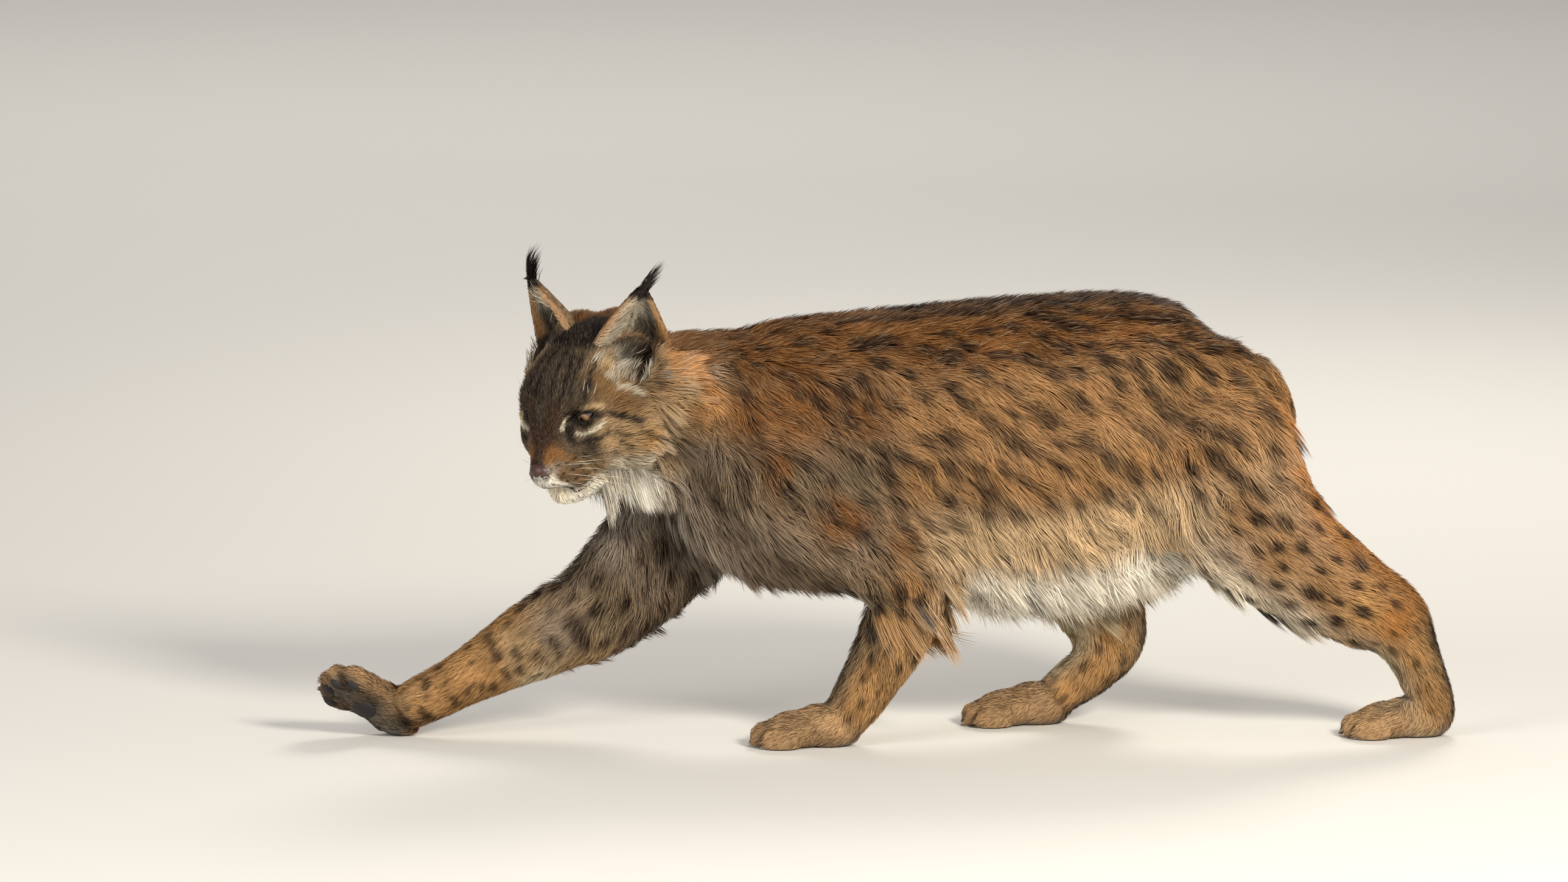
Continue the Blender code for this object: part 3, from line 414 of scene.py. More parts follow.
# How the coat grows: mm of depth over the skin, mm of length and width of a tuft, degrees off the skin,
# how strong the spots are, their radius and the gap between them in mm, the height of the tips in mm
coatKinds = {
    "back": (12, 26, 0.85, 18, 0.88, 11.5, 25, 12),
    "flank": (15, 34, 0.90, 20, 0.82, 11.5, 29, 15),
    "lowFlank": (15, 40, 0.95, 22, 0.50, 8.5, 33, 15),
    "belly": (12, 58, 1.10, 26, 0.0, 8.0, 60, 12),
    "neck": (11, 28, 0.85, 22, 0.40, 8.0, 30, 11),
    "chest": (12, 46, 1.05, 22, 0.50, 7.0, 32, 12),
    "shoulder": (11, 25, 0.82, 20, 0.95, 9.5, 24, 11),
    "thigh": (10, 23, 0.78, 20, 1.0, 10.0, 25, 10),
    "haunch": (11, 24, 0.80, 20, 0.95, 11.0, 25, 11),
    "leg": (7, 18, 0.72, 19, 1.00, 7.6, 22, 7),
    "legPlain": (7, 18, 0.72, 19, 0.10, 5.0, 26, 7),
    "shank": (5, 14, 0.66, 18, 0.65, 5.0, 22, 5),
    "foot": (3.5, 10, 0.62, 18, 0.15, 3.5, 20, 3.5),
    "tail": (7, 22, 0.90, 20, 0.40, 7.0, 30, 7),
    "muzzle": (0.5, 4.5, 0.42, 16, 0.0, 5.0, 60, 1.6),
    "face": (0.5, 7.5, 0.48, 18, 0.0, 5.0, 60, 3),
    "brow": (-3.0, 10, 0.50, 22, 0.0, 5.0, 60, 8),
    "forehead": (-1.0, 9, 0.52, 20, 0.0, 5.0, 60, 6),
    "cheek": (2.0, 15, 0.62, 20, 0.0, 5.0, 60, 7),
    "chin": (2.5, 8, 0.55, 22, 0.0, 5.0, 60, 4),
    "ruff": (11, 36, 0.80, 24, 0.0, 5.0, 60, 14),
    "beard": (7, 44, 0.85, 20, 0.0, 5.0, 60, 9),
}
stations = []


def station(at, lie, kind, tone, group):
    stations.append((Vector(at), Vector(lie).normalized(), kind, tone, group))


def trunkStations():
    # share of the height, share of the half width, lie, kind, tone behind, tone over the shoulders
    levels = [
        (1.00, 0.00, (1, 0, -0.02), "back", "darkBack", "rufous"),
        (0.90, 0.62, (1, 0, -0.35), "back", "rufous", "rufous"),
        (0.66, 0.98, (0.78, 0, -0.65), "flank", "ochre", "rufous"),
        (0.42, 1.00, (0.64, 0, -0.78), "flank", "ochre", "greyBrown"),
        (0.20, 0.80, (0.56, 0, -0.84), "lowFlank", "paleBuff", "chestGrey"),
        (0.03, 0.40, (0.60, 0, -0.80), "belly", "white", "chestGrey"),
        (0.00, 0.00, (0.80, 0, -0.60), "belly", "white", "chestGrey"),
    ]
    for x, top, low, wide in trunkRows[1:-1]:
        for height, out, lie, kind, tone, frontTone in levels:
            for side in bothSides if out else (1,):
                at = (x, -side * wide * out, low + (top - low) * height)
                ahead = x < 0.10
                group = "trunkLeft" if side > 0 else "trunkRight"
                if ahead and kind in ("lowFlank", "belly"):
                    kind = "chest"
                station(at, lie, kind, frontTone if ahead else tone, group)


def neckStations():
    for x, y, z, wide, tall in neckRows[:4]:
        station((x, y, z + tall), (1, 0, -0.1), "neck", "rufous", "neck")
        for side in bothSides:
            station((x, y - side * wide * 0.8, z + tall * 0.6), (1, 0, -0.45), "neck", "rufous", "neck")
            station((x, y - side * wide, z), (0.8, 0, -0.7), "neck", "rufous", "neck")
            station((x, y - side * wide * 0.8, z - tall * 0.6), (0.6, 0, -0.9), "chest", "chestGrey", "neck")
        station((x, y, z - tall), (0.5, 0, -0.9), "chest", "chestGrey", "neck")


def limbStations(name, rows, kinds, looks, group):
    # looks: tones for the outer, front, back and inner side, one per row or the same for all
    side = 1 if name.endswith("Left") else -1
    for i, (x, y, z, wide, deep) in enumerate(rows):
        ahead = Vector(rows[min(i + 1, len(rows) - 1)][:3]) - Vector(rows[max(i - 1, 0)][:3])
        ahead.normalize()
        front = Vector((-1, 0, 0)) - ahead * -ahead.x
        front.normalize()
        lie = ahead + Vector((0.62 if z > 0.21 else 0.25, 0, -0.05))
        spots = [(Vector((0, -side, 0)), wide, 0), (front, deep, 1), (-front, deep, 2), (Vector((0, side, 0)), wide, 3)]
        for direction, reach, k in spots:
            tone = looks[k][min(i, len(looks[k]) - 1)] if isinstance(looks[k], (list, tuple)) else looks[k]
            kind = kinds[min(i, len(kinds) - 1)]
            if isinstance(kind, dict):
                kind = kind.get(k, kind["all"])
            station(Vector((x, y, z)) + direction * reach, lie, kind, tone, group)


def footMatrix(foot):
    back = -Vector(foot["sole"]).normalized()
    toes = Vector(foot["toes"])
    toes = (toes - back * toes.dot(back)).normalized()
    turn = Matrix((toes, back.cross(toes), back)).transposed().to_4x4()
    return Matrix.Translation(Vector(foot["at"])) @ turn


def footStations():
    for name, foot in feet.items():
        place = footMatrix(foot)
        turn = place.to_3x3()
        for x in (-0.03, 0.01, 0.05):
            station(place @ Vector((x, 0, 0.045)), turn @ Vector((1, 0, -0.3)), "foot", "footBuff", "feet")
            for y in (-0.035, 0.035):
                station(place @ Vector((x, y, 0.020)), turn @ Vector((1, 0, -0.5)), "foot", "footBuff", "feet")
            station(place @ Vector((x, 0, 0.0)), turn @ Vector((0.8, 0, -0.1)), "foot", "soleGrey", "feet")
            if name == "foreRight":
                for y in (-0.02, 0.02):
                    station(place @ Vector((x, y, 0.001)), turn @ Vector((0.8, 0, -0.1)), "foot", "darkGrey", "feet")
        station(place @ Vector((0.072, 0, 0.018)), turn @ Vector((0.7, 0, -0.8)), "foot", "footBuff", "feet")


headTones = [  # mm in the head's frame, kind, tone
    ((50, 0, -33), "muzzle", "noseBrown"),
    ((36, 5, -20), "muzzle", "noseBrown"),
    ((28, 0, 2), "face", "faceGrey"),
    ((45, 14, -27), "muzzle", "noseOrange"),
    ((36, 22, -32), "muzzle", "greyBrown"),
    ((27, 32, -38), "muzzle", "greyBrown"),
    ((52, 8, -60), "muzzle", "white"),
    ((42, 22, -58), "muzzle", "templeBrown"),
    ((28, 34, -60), "muzzle", "templeBrown"),
    ((10, 44, -62), "face", "cheekBuff"),
    ((42, 4, -88), "chin", "cream"),
    ((28, 14, -98), "chin", "white"),
    ((8, 26, -98), "chin", "white"),
    ((-6, 44, -86), "cheek", "cream"),
    ((-25, 40, -104), "cheek", "white"),
    ((-16, 60, -70), "cheek", "cream"),
    ((-38, 76, -84), "cheek", "cream"),
    ((12, 52, -30), "face", "faceGrey"),
    ((-2, 64, -30), "face", "cheekBuff"),
    ((-18, 80, -20), "cheek", "cheekBuff"),
    ((-40, 92, -48), "cheek", "buff"),
    ((-20, 74, -44), "cheek", "cheekBuff"),
    ((24, 18, -6), "face", "faceGrey"),
    ((6, 12, 38), "forehead", "faceGrey"),
    ((4, 34, 24), "brow", "faceGrey"),
    ((-26, 14, 55), "forehead", "faceGrey"),
    ((-28, 58, 28), "forehead", "templeBrown"),
    ((-44, 76, 12), "cheek", "templeBrown"),
    ((-30, 80, 0), "cheek", "templeBrown"),
    ((-60, 14, 66), "forehead", "black"),
    ((-80, 20, 68), "forehead", "black"),
    ((-105, 20, 64), "forehead", "rufous"),
    ((-50, 50, 44), "forehead", "cheekBuff"),
    ((-62, 82, 30), "cheek", "cheekBuff"),
    ((-66, 58, 40), "forehead", "earInner"),
    ((-84, 78, 44), "forehead", "spot"),
    ((-98, 62, 54), "forehead", "earBack"),
    ((-60, 104, -20), "cheek", "cheekBuff"),
    ((-96, 104, 34), "ruff", "cheekBuff"),
    # the orange here is partly the ruff's own warm tone, partly painted warm sunlight
    ((-110, 116, 10), "ruff", "orange"),
    ((-92, 122, -20), "ruff", "cheekBuff"),
    ((-110, 112, -50), "ruff", "buff"),
    ((-76, 110, -62), "ruff", "cheekBuff"),
    ((-90, 92, -96), "ruff", "chestGrey"),
    ((-60, 86, -96), "ruff", "cheekBuff"),
    ((-48, 58, -116), "beard", "white"),
    ((-76, 56, -120), "beard", "chestGrey"),
    ((-90, 30, -124), "beard", "chestGrey"),
    ((-44, 20, -118), "chin", "white"),
    ((-130, 60, 20), "ruff", "rufous"),
    ((-130, 20, 60), "forehead", "rufous"),
]


def headStations():
    turn = headPlace.to_3x3()
    nose = Vector((62, 0, -44))
    for at, kind, tone in headTones:
        for side in bothSides if at[1] else (1,):
            p = Vector((at[0], at[1] * side, at[2]))
            lie = (p - nose).normalized()
            if kind in ("ruff", "beard"):
                lie = Vector((-0.62, 0.10 * side, -0.78)) if at[2] < 0 else Vector((-0.9, 0.1 * side, -0.3))
            if kind == "beard":
                lie = Vector((-0.25, -0.05 * side, -1.0))
            if kind == "cheek":
                lie = (lie + Vector((-0.2, 0, -0.35))).normalized()
            station(headPlace @ (p * mm), turn @ lie, kind, tone, "ruff" if kind in ("ruff", "beard") else "face")


trunkStations()
neckStations()
limbStations("foreLeft", upperLimbs["foreLeft"], ["shoulder"],
             ["rufous", "greyBrown", "greyBrown", "chestGrey"], "foreLeft")
limbStations("foreLeft", lowerLimbs["foreLeft"][1:], ["leg", "leg", "shank"],
             [("ochre", "legBuff"), "greyBrown", ("buff", "legBuff"), "legPale"], "foreLeft")
limbStations("foreRight", upperLimbs["foreRight"], ["shoulder"],
             ["rufous", "darkGrey", "darkGrey", ("chestGrey", "darkGrey", "darkGrey", "greyBrown")], "foreRight")
limbStations("foreRight", lowerLimbs["foreRight"][1:], [{3: "legPlain", 2: "legPlain", "all": "leg"}, "shank"],
             ["legBuff", ("greyBrown", "legBuff"), ("cheekBuff", "legPale", "legBuff"), ("chestGrey", "cheekBuff", "legBuff")],
             "foreRight")
limbStations("hindLeft", upperLimbs["hindLeft"], ["haunch", "thigh", "thigh", "leg"],
             [("ochre", "thigh", "thigh", "thigh"), ("buff", "buff", "paleBuff", "cream"),
              ("ochre", "orange", "hockOrange"), "chestGrey"], "hindLeft")
limbStations("hindLeft", lowerLimbs["hindLeft"][1:],
             ["leg", {2: "legPlain", "all": "leg"}, {2: "legPlain", "all": "shank"}, "shank"],
             [("thigh", "legBuff", "hockOrange", "legBuff"), ("cream", "paleBuff", "chestGrey", "legPale"),
              ("hockOrange", "hockOrange", "hockOrange", "black"), "chestGrey"], "hindLeft")
limbStations("hindRight", upperLimbs["hindRight"], ["haunch", "thigh", "thigh", "leg"],
             ["thigh", "buff", "ochre", ("cream", "chestGrey")], "hindRight")
limbStations("hindRight", lowerLimbs["hindRight"][1:], ["legPlain", "shank"],
             ["legBuff", "legPale", ("hockOrange", "hockOrange", "greyBrown", "black"), ("chestGrey", "legPale", "legBuff")],
             "hindRight")
footStations()
headStations()
for i, (x, y, z, wide, deep) in enumerate(tailRows[1:]):
    for dx, dy in ((1, 0), (-1, 0), (0, 1), (0, -1)):
        station((x + dx * deep, y + dy * wide, z), (0.05, 0, -1), "tail", "ochre" if i < 2 else "black", "feet")

hangingKinds = {"belly": 0.8, "chest": 0.55, "ruff": 0.6, "beard": 1.0, "lowFlank": 0.4, "cheek": 0.15, "haunch": 0.2}
stationAt = np.array([s[0] for s in stations])
stationTable = np.array([(*s[1], *coatKinds[s[2]], *toneColour[s[3]], hangingKinds.get(s[2], 0)) for s in stations],
                        np.float32)
groupNames = sorted({s[4] for s in stations})
stationGroup = np.array([groupNames.index(s[4]) for s in stations])


def squaredGaps(points, others):
    points, others = points.astype(np.float32), others.astype(np.float32)
    return (np.square(points).sum(1)[:, None] + np.square(others).sum(1)[None] - 2 * points @ others.T).clip(0)


def coatAt(points):
    # blends the stations near each point: lie, kind values, tone, how far it hangs, and the nearest one's group
    blended, groups = [], []
    for start in range(0, len(points), 20000):
        gaps = squaredGaps(points[start : start + 20000], stationAt)
        weights = 1 / np.square(gaps + np.float32(0.00003))
        blended.append(weights @ stationTable / weights.sum(1)[:, None])
        groups.append(stationGroup[gaps.argmin(1)])
    lies, kinds, colours, hang = np.split(np.vstack(blended).astype(float), (3, 11, 14), axis=1)
    return lies, kinds, colours, hang[:, 0], np.concatenate(groups)


print("coat stations", len(stations))


def shrunk(obj):
    # the skin lies inside the coat by the coat's depth; soles keep to the floor
    points, normals = pointsOf(obj.data), pointsOf(obj.data, "normal")
    depth = coatAt(points)[1][:, 0] * mm
    depth *= np.clip(points[:, 2] / 0.012, 0.1, 1)
    obj.data.vertices.foreach_set("co", (points - normals * depth[:, None]).ravel())
    obj.data.update()
    return obj


def makeBodyMass():
    bm = bmesh.new()
    loft(bm, [(x, 0.0, (top + low) / 2, wide, (top - low) / 2) for x, top, low, wide in trunkRows])
    for chain in (neckRows, *upperLimbs.values(), *lowerLimbs.values()):
        loft(bm, chain)
    return remeshed(meshObject("body", bm), 0.0055, 22)


def earAxes(side):
    root = earSizes["root"] * 1.0
    root.y *= side
    tip = earSizes["tips"][side] * 1.0
    tip.y *= side
    up = (tip - root).normalized()
    turn = math.radians(earSizes["opens"][side])
    opens = Vector((math.cos(turn), math.sin(turn) * side, 0.0))
    opens = (opens - up * opens.dot(up)).normalized()
    return root, (tip - root).length, up, opens, up.cross(opens) * side


def makeHeadMass():
    bm = bmesh.new()
    skull = [(x * mm, 0, z * mm, wide * mm, tall * mm) for x, z, wide, tall in headSections]
    loft(bm, skull, matrix=headPlace, step=0.006)
    form(bm, (14, 0, -86), (30, 25, 20), -8)
    form(bm, (-14, 0, -78), (44, 38, 30), -8)
    form(bm, (-22, 42, -34), (42, 30, 42), 0, bothSides)
    form(bm, (-52, 58, -32), (46, 38, 56), 0, bothSides)
    form(bm, (-98, 80, -24), (44, 44, 70), 10, bothSides)
    form(bm, (-74, 44, -84), (38, 34, 46), 14, bothSides)
    form(bm, (-60, 0, -64), (60, 56, 52))
    form(bm, (-90, 46, 24), (36, 32, 32), 0, bothSides)
    form(bm, (-108, 44, 46), (26, 24, 22), 0, bothSides)
    loft(bm, neckRows)
    head = remeshed(meshObject("head", bm), 0.0022, 2)
    bm = bmesh.new()
    form(bm, (18, 37, -3), (19, 19, 15), 20, bothSides)
    form(bm, (-70, 66, 40), (24, 25, 36), 0, bothSides)
    for side in bothSides:
        root, length, up, opens, out = earAxes(side)
        cup = Matrix((opens, out, up)).transposed().to_4x4()
        cup.translation = root + up * 0.014 - opens * 0.009
        ellipsoid(bm, (0, 0, 0), (0.0165, 0.033, 0.040), headPlace @ cup)
    cutBy(head, meshObject("hollows", bm))
    head = remeshed(head, 0.0022, 30)
    bm = bmesh.new()
    bm.from_mesh(head.data)
    form(bm, (32, 13, -62), (18, 15, 14), 10, bothSides)
    form(bm, (21, 23, -63), (21, 15, 16), 0, bothSides)
    form(bm, (43, 0, -38), (18, 12.5, 12.5), 25)
    form(bm, (28, 0, -87), (18, 17, 13))
    form(bm, (14, 19, -85), (20, 12, 10), 10, bothSides)
    for side in bothSides:
        ellipsoid(bm, eyeCentre(side), (eyeSizes["lid"] * mm,) * 3, headPlace)
    bm.to_mesh(head.data)
    bm.free()
    return remeshed(head, 0.0018, 6)


def makeFeet():
    bm = bmesh.new()
    for name, foot in feet.items():
        half, place = foot["half"], footMatrix(foot)
        ellipsoid(bm, (-0.014, 0, 0.024), (0.044, half * 0.86, 0.027), place)
        ellipsoid(bm, (0.020, 0, 0.020), (0.038, half * 0.96, 0.022), place)
        for k, ahead in zip((-1.5, -0.5, 0.5, 1.5), (0.040, 0.052, 0.052, 0.040)):
            ellipsoid(bm, (ahead, k * half * 0.52, 0.0135), (0.025, half * 0.30, 0.0165), place)
        loft(bm, lowerLimbs[name][-2:])
    made = remeshed(meshObject("feet", bm), 0.0024, 4)
    bm = bmesh.new()
    bmesh.ops.create_cube(bm, size=3, matrix=Matrix.Translation((0, 0, -1.5)))
    return cutBy(made, meshObject("floorCut", bm))


def almond(upper, lower, half, steps=14):
    across = [half * (2 * k / steps - 1) for k in range(steps + 1)]
    top = [(y, upper * (1 - (y / half) ** 2)) for y in across]
    low = [(y, -lower * (1 - (y / half) ** 2)) for y in reversed(across[1:-1])]
    return top + low


eyeShape = {"upper": 6.3, "lower": 6.8, "half": 14.3}  # mm of the opening at the lid's surface


def cutEye(head, side):
    bm = bmesh.new()
    bmesh.ops.create_uvsphere(bm, u_segments=40, v_segments=26, radius=(eyeSizes["radius"] + 0.25) * mm,
                              matrix=eyeMatrix(side))
    socket = meshObject("socket", bm)
    bm = bmesh.new()
    outline = almond(eyeShape["upper"] * mm, eyeShape["lower"] * mm, eyeShape["half"] * mm)
    depth = (eyeSizes["lid"] + 4) * mm
    start = [bm.verts.new((0, y * 0.55, z * 0.5)) for y, z in outline]
    face = bm.faces.new(start)
    far = bmesh.ops.extrude_discrete_faces(bm, faces=[face])["faces"][0]
    bmesh.ops.transform(bm, matrix=Matrix.Translation((depth, 0, 0)) @ Matrix.Diagonal((1, 2.2, 2.4, 1)),
                        verts=far.verts)
    bmesh.ops.holes_fill(bm, edges=[e for e in bm.edges if e.is_boundary], sides=0)
    bmesh.ops.recalc_face_normals(bm, faces=bm.faces)
    bmesh.ops.transform(bm, matrix=eyeMatrix(side), verts=bm.verts)
    cutBy(head, meshObject("opening", bm))
    cutBy(head, socket)


def lipLine(head, lift):
    # the line of the lips laid on the surface, from one corner to the other
    bm = bmesh.new()
    bm.from_mesh(head.data)
    surface = BVHTree.FromBMesh(bm)
    bm.free()
    left = [Vector(p) * mm for p in mouthPath]
    right = [Vector((p.x, -p.y, p.z)) for p in reversed(left[1:])]
    line = []
    for row in catmull([tuple(p) for p in right + left], 0.004):
        hit, normal, _, _ = surface.find_nearest(headPlace @ Vector(row))
        line.append(hit + normal * lift)
    return line


def makeSkin():
    body, head, paws = makeBodyMass(), makeHeadMass(), makeFeet()
    bm = bmesh.new()
    loft(bm, tailRows, step=0.01)
    tail = remeshed(meshObject("tail", bm), 0.004, 3)
    print("masses made")
    skin = joinMeshes("skin", [shrunk(m) for m in (body, head, paws, tail)])
    skin = remeshed(skin, 0.0021, 2)
    lips = lipLine(skin, 0.0002)
    bm = bmesh.new()
    loft(bm, [(*p, 0.0011, 0.0011) for p in lips], across=(0.3, 0.2, 1), step=0.02, sides=10)
    groove = remeshed(meshObject("groove", bm), 0.0005, 1)
    cutBy(skin, groove)
    for side in bothSides:
        cutEye(skin, side)
    print("skin faces", len(skin.data.polygons))
    return skin, lips


skin, lipPoints = makeSkin()


def earPoint(side, height, across):
    root, length, up, opens, out = earAxes(side)
    taper = max(0.0, 1 - height) ** 0.74
    swell = 1 + 0.10 * math.sin(math.pi * min(1, max(0, height + 0.2)))
    wide = earSizes["halfWidth"] * (taper * swell if height > 0 else 1.06 + 0.1 * height)
    cup = earSizes["cup"] * min(1, wide / earSizes["halfWidth"])
    deep = -cup * (1 - abs(across) ** 2.2)
    return root + up * (height * length) + out * (across * wide + 0.004 * (1 - height)) + opens * deep


def makeEar(side):
    # a grid bent into the ear's cup, then given its thickness
    rows, columns = 28, 22
    bm = bmesh.new()
    grid = bmesh.ops.create_grid(bm, x_segments=columns, y_segments=rows, size=1)["verts"]
    for vert in grid:
        height = -0.45 + 1.435 * (vert.co.y + 1) / 2
        vert.co = headPlace @ earPoint(side, height, vert.co.x)
    bmesh.ops.remove_doubles(bm, verts=bm.verts, dist=0.0002)
    ear = meshObject("ear", bm)
    thick = ear.modifiers.new("thickness", "SOLIDIFY")
    thick.thickness = earSizes["thick"]
    thick.offset = -1 if side > 0 else 1
    applied(ear)
    bm = bmesh.new()
    bm.from_mesh(ear.data)
    bmesh.ops.recalc_face_normals(bm, faces=bm.faces)
    bm.to_mesh(ear.data)
    bm.free()
    return ear


skinSettings = {"triangles": 150000, "unwrapAngle": 60}


def finishSkin(skin):
    skin.data.calc_loop_triangles()
    skin = decimated(skin, skinSettings["triangles"] / len(skin.data.loop_triangles))
    bm = bmesh.new()
    bm.from_mesh(skin.data)
    part = bm.faces.layers.int.new("part")
    bmesh.ops.triangulate(bm, faces=bm.faces)
    for code, side in enumerate(bothSides, 1):
        ear = makeEar(side)
        known = set(bm.faces)
        bm.from_mesh(ear.data)
        for face in bm.faces:
            if face not in known:
                face[part] = code
        bpy.data.objects.remove(ear, do_unlink=True)
    bmesh.ops.triangulate(bm, faces=bm.faces)
    bm.to_mesh(skin.data)
    bm.free()
    for face in skin.data.polygons:
        face.use_smooth = True
    bpy.context.view_layer.objects.active = skin
    skin.select_set(True)
    bpy.ops.object.mode_set(mode="EDIT")
    bpy.ops.mesh.select_all(action="SELECT")
    skin.data.uv_layers.new(name="OFBake")
    bpy.ops.uv.smart_project(angle_limit=math.radians(skinSettings["unwrapAngle"]), island_margin=0.002)
    bpy.ops.object.mode_set(mode="OBJECT")
    skin.select_set(False)
    print("skin unwrapped", len(skin.data.polygons), "triangles")
    return skin


skin = finishSkin(skin)


def smoothStep(low, high, values):
    t = np.clip((values - low) / (high - low), 0, 1)
    return t * t * (3 - 2 * t)


def waveNoise(points, size, seed, count=8):
    # smooth noise of about -1 to 1 from a few sine waves, size in metres
    rng = np.random.default_rng(seed)
    waves = rng.normal(size=(count, 3))
    waves *= (2 * math.pi / size * rng.uniform(0.6, 1.5, count) / np.linalg.norm(waves, axis=1))[:, None]
    return np.sin(points @ waves.T + rng.uniform(0, 6.28, count)).sum(1) / math.sqrt(count)


def blend(first, second, share):
    return first * (1 - share[:, None]) + second * share[:, None]


def unit(vectors):
    return vectors / np.linalg.norm(vectors, axis=1).clip(1e-9)[:, None]


def dot(a, b):
    return (a * b).sum(1)


# Face marks in the head's frame: tone, width in mm, strength, points; each is mirrored to the far side
faceMarks = [
    ("black", 20, 0.95, [(-100, 8, 64), (-90, 4, 66), (-80, -1, 70), (-72, 30, 70)]),
    ("black", 18, 0.95, [(-46, 1, 66), (-56, 27, 63), (-64, 40, 62)]),
    ("black", 6.5, 0.95, [(-35, 19, 61), (-14, 23, 50), (7, 26, 32), (21, 23, 17)]),
    ("black", 6.5, 0.92, [(-32, 7, 62), (-3, 10, 47), (17, 13, 29)]),
    ("black", 6.5, 0.92, [(-34, 28, 57), (-12, 31, 44), (5, 34, 28)]),
    ("black", 6.5, 0.88, [(-40, 41, 52), (-25, 44, 42), (-11, 47, 30)]),
    ("black", 10, 0.9, [(-11, 46, 32), (2, 45, 18), (7, 35, 8)]),
    ("black", 12, 0.95, [(7, 28, 2), (16, 25, -12), (24, 33, -19)]),
    ("black", 8, 0.85, [(24, 37, -25), (15, 55, -25), (-1, 67, -23)]),
    ("cream", 6, 0.9, [(16, 35, -16), (13, 51, -15), (3, 60, -11), (-7, 63, -8)]),
    ("cream", 8, 0.8, [(10, 25, 5), (18, 21, -2), (24, 21, -7)]),
    ("paleBuff", 7, 0.7, [(6, 45, 13), (-4, 54, 12), (-13, 60, 5)]),
    ("black", 9, 0.95, [(-4, 58, -2), (-11, 62, -2), (-19, 77, -8), (-35, 91, -20)]),
    ("spot", 6, 0.85, [(-11, 73, -24), (-19, 83, -34)]),
    ("spot", 6, 0.8, [(-10, 74, -34), (-21, 81, -50)]),
    ("spot", 8, 0.8, [(-32, 91, -32), (-52, 92, -56), (-62, 92, -78)]),
    ("spot", 6, 0.7, [(-2, 67, -44), (-18, 70, -64)]),
    ("spot", 18, 0.6, [(-70, 100, -50), (-84, 98, -76), (-92, 92, -104)]),
    ("noseBrown", 18, 0.9, [(56, 2, -32), (39, 8, -10), (21, 18, 18)]),
    ("noseOrange", 9, 0.8, [(52, 11, -34), (45, 15, -28), (38, 24, -29)]),
    ("noseOrange", 10, 0.5, [(46, 11, -26), (39, 25, -35), (27, 32, -44)]),
    ("black", 5, 0.9, [(53, 17, -44), (57, 16, -51), (62, 10, -56)]),
    ("white", 8, 0.9, [(55, 14, -59), (46, 21, -68), (36, 24, -76)]),
    ("black", 4.5, 0.6, [(36, 29, -53), (22, 38, -54), (8, 52, -53)]),
    ("black", 4.5, 0.65, [(47, 21, -59), (30, 34, -63), (8, 40, -68)]),
    ("black", 4.5, 0.65, [(49, 15, -68), (31, 28, -74), (10, 36, -76)]),
    ("spot", 4.5, 0.8, [(56, 6, -69), (43, 14, -79), (30, 26, -82), (8, 37, -80)]),
    ("black", 40, 0.85, [(-84, 60, 44), (-78, 74, 26)]),
    ("spot", 14, 0.7, [(-84, 98, 24), (-70, 100, 6)]),
    ("earInner", 10, 0.7, [(-36, 58, 34), (-40, 72, 18), (-52, 86, 4)]),
]
ruffMarks = [
    # the orange band behind the cheek is partly the ruff's own warm tone, partly painted warm sunlight
    ("orange", 32, 0.7, [(-112, 106, 30), (-126, 118, 4), (-126, 122, -24), (-114, 118, -50)]),
    ("cream", 16, 0.5, [(-138, 112, 22), (-148, 124, -8), (-142, 126, -38)]),
]
whiskerRows = [
    [(44, 20, -43), (36, 26, -44), (26, 32, -42), (19, 42, -40)],
    [(42, 22, -55), (34, 30, -54), (23, 35, -53), (14, 42, -54)],
    [(42, 25, -64), (36, 33, -64), (23, 37, -65), (7, 37, -65)],
    [(52, 12, -64), (41, 20, -72), (27, 27, -78), (12, 31, -78)],
]
# Marks on the body's frame, in metres, seen from the camera's side
bodyMarks = [
    ("spot", 12, 0.9, [(-0.287, 0.019, 0.099), (-0.272, 0.025, 0.080)]),
    ("spot", 12, 0.9, [(-0.306, 0.022, 0.080), (-0.292, 0.028, 0.060)]),
    ("spot", 12, 0.9, [(-0.323, 0.020, 0.077), (-0.309, 0.027, 0.055)]),
    ("spot", 11, 0.85, [(-0.336, 0.026, 0.062), (-0.326, 0.034, 0.042)]),
    ("spot", 11, 0.85, [(-0.350, 0.021, 0.063), (-0.338, 0.028, 0.043)]),
    ("spot", 11, 0.8, [(-0.366, 0.021, 0.055), (-0.356, 0.028, 0.036)]),
    ("spot", 11, 0.8, [(-0.383, 0.020, 0.047), (-0.375, 0.027, 0.030)]),
    ("spot", 12, 0.85, [(-0.419, 0.019, 0.034), (-0.404, 0.032, 0.022)]),
    ("spot", 22, 0.85, [(-0.245, 0.022, 0.135), (-0.229, 0.027, 0.106)]),
    ("spot", 13, 0.8, [(-0.311, 0.019, 0.102), (-0.306, 0.019, 0.094)]),
    ("spot", 14, 0.75, [(-0.336, 0.022, 0.100), (-0.329, 0.020, 0.096)]),
    ("spot", 14, 0.75, [(-0.343, 0.033, 0.115), (-0.336, 0.026, 0.110)]),
    ("spot", 12, 0.75, [(-0.267, 0.021, 0.113), (-0.259, 0.025, 0.097)]),
    ("spot", 12, 0.8, [(-0.410, 0.030, 0.078), (-0.414, 0.024, 0.060)]),
    ("black", 30, 0.7, [(0.035, -0.060, 0.205), (0.070, -0.040, 0.165)]),
    ("greyBrown", 60, 0.45, [(0.500, -0.150, 0.330), (0.540, -0.150, 0.270)]),
]


def lineShare(points, line, width):
    # how strongly each point lies on a line of that width, both in metres
    nearest = np.full(len(points), np.inf)
    line = np.array(line, float)
    for start, end in zip(line, line[1:]):
        along = end - start
        t = np.clip((points - start) @ along / (along @ along), 0, 1)
        nearest = np.minimum(nearest, np.linalg.norm(points - start - t[:, None] * along, axis=1))
    return 1 - smoothStep(0.30 * width, 0.62 * width, nearest)


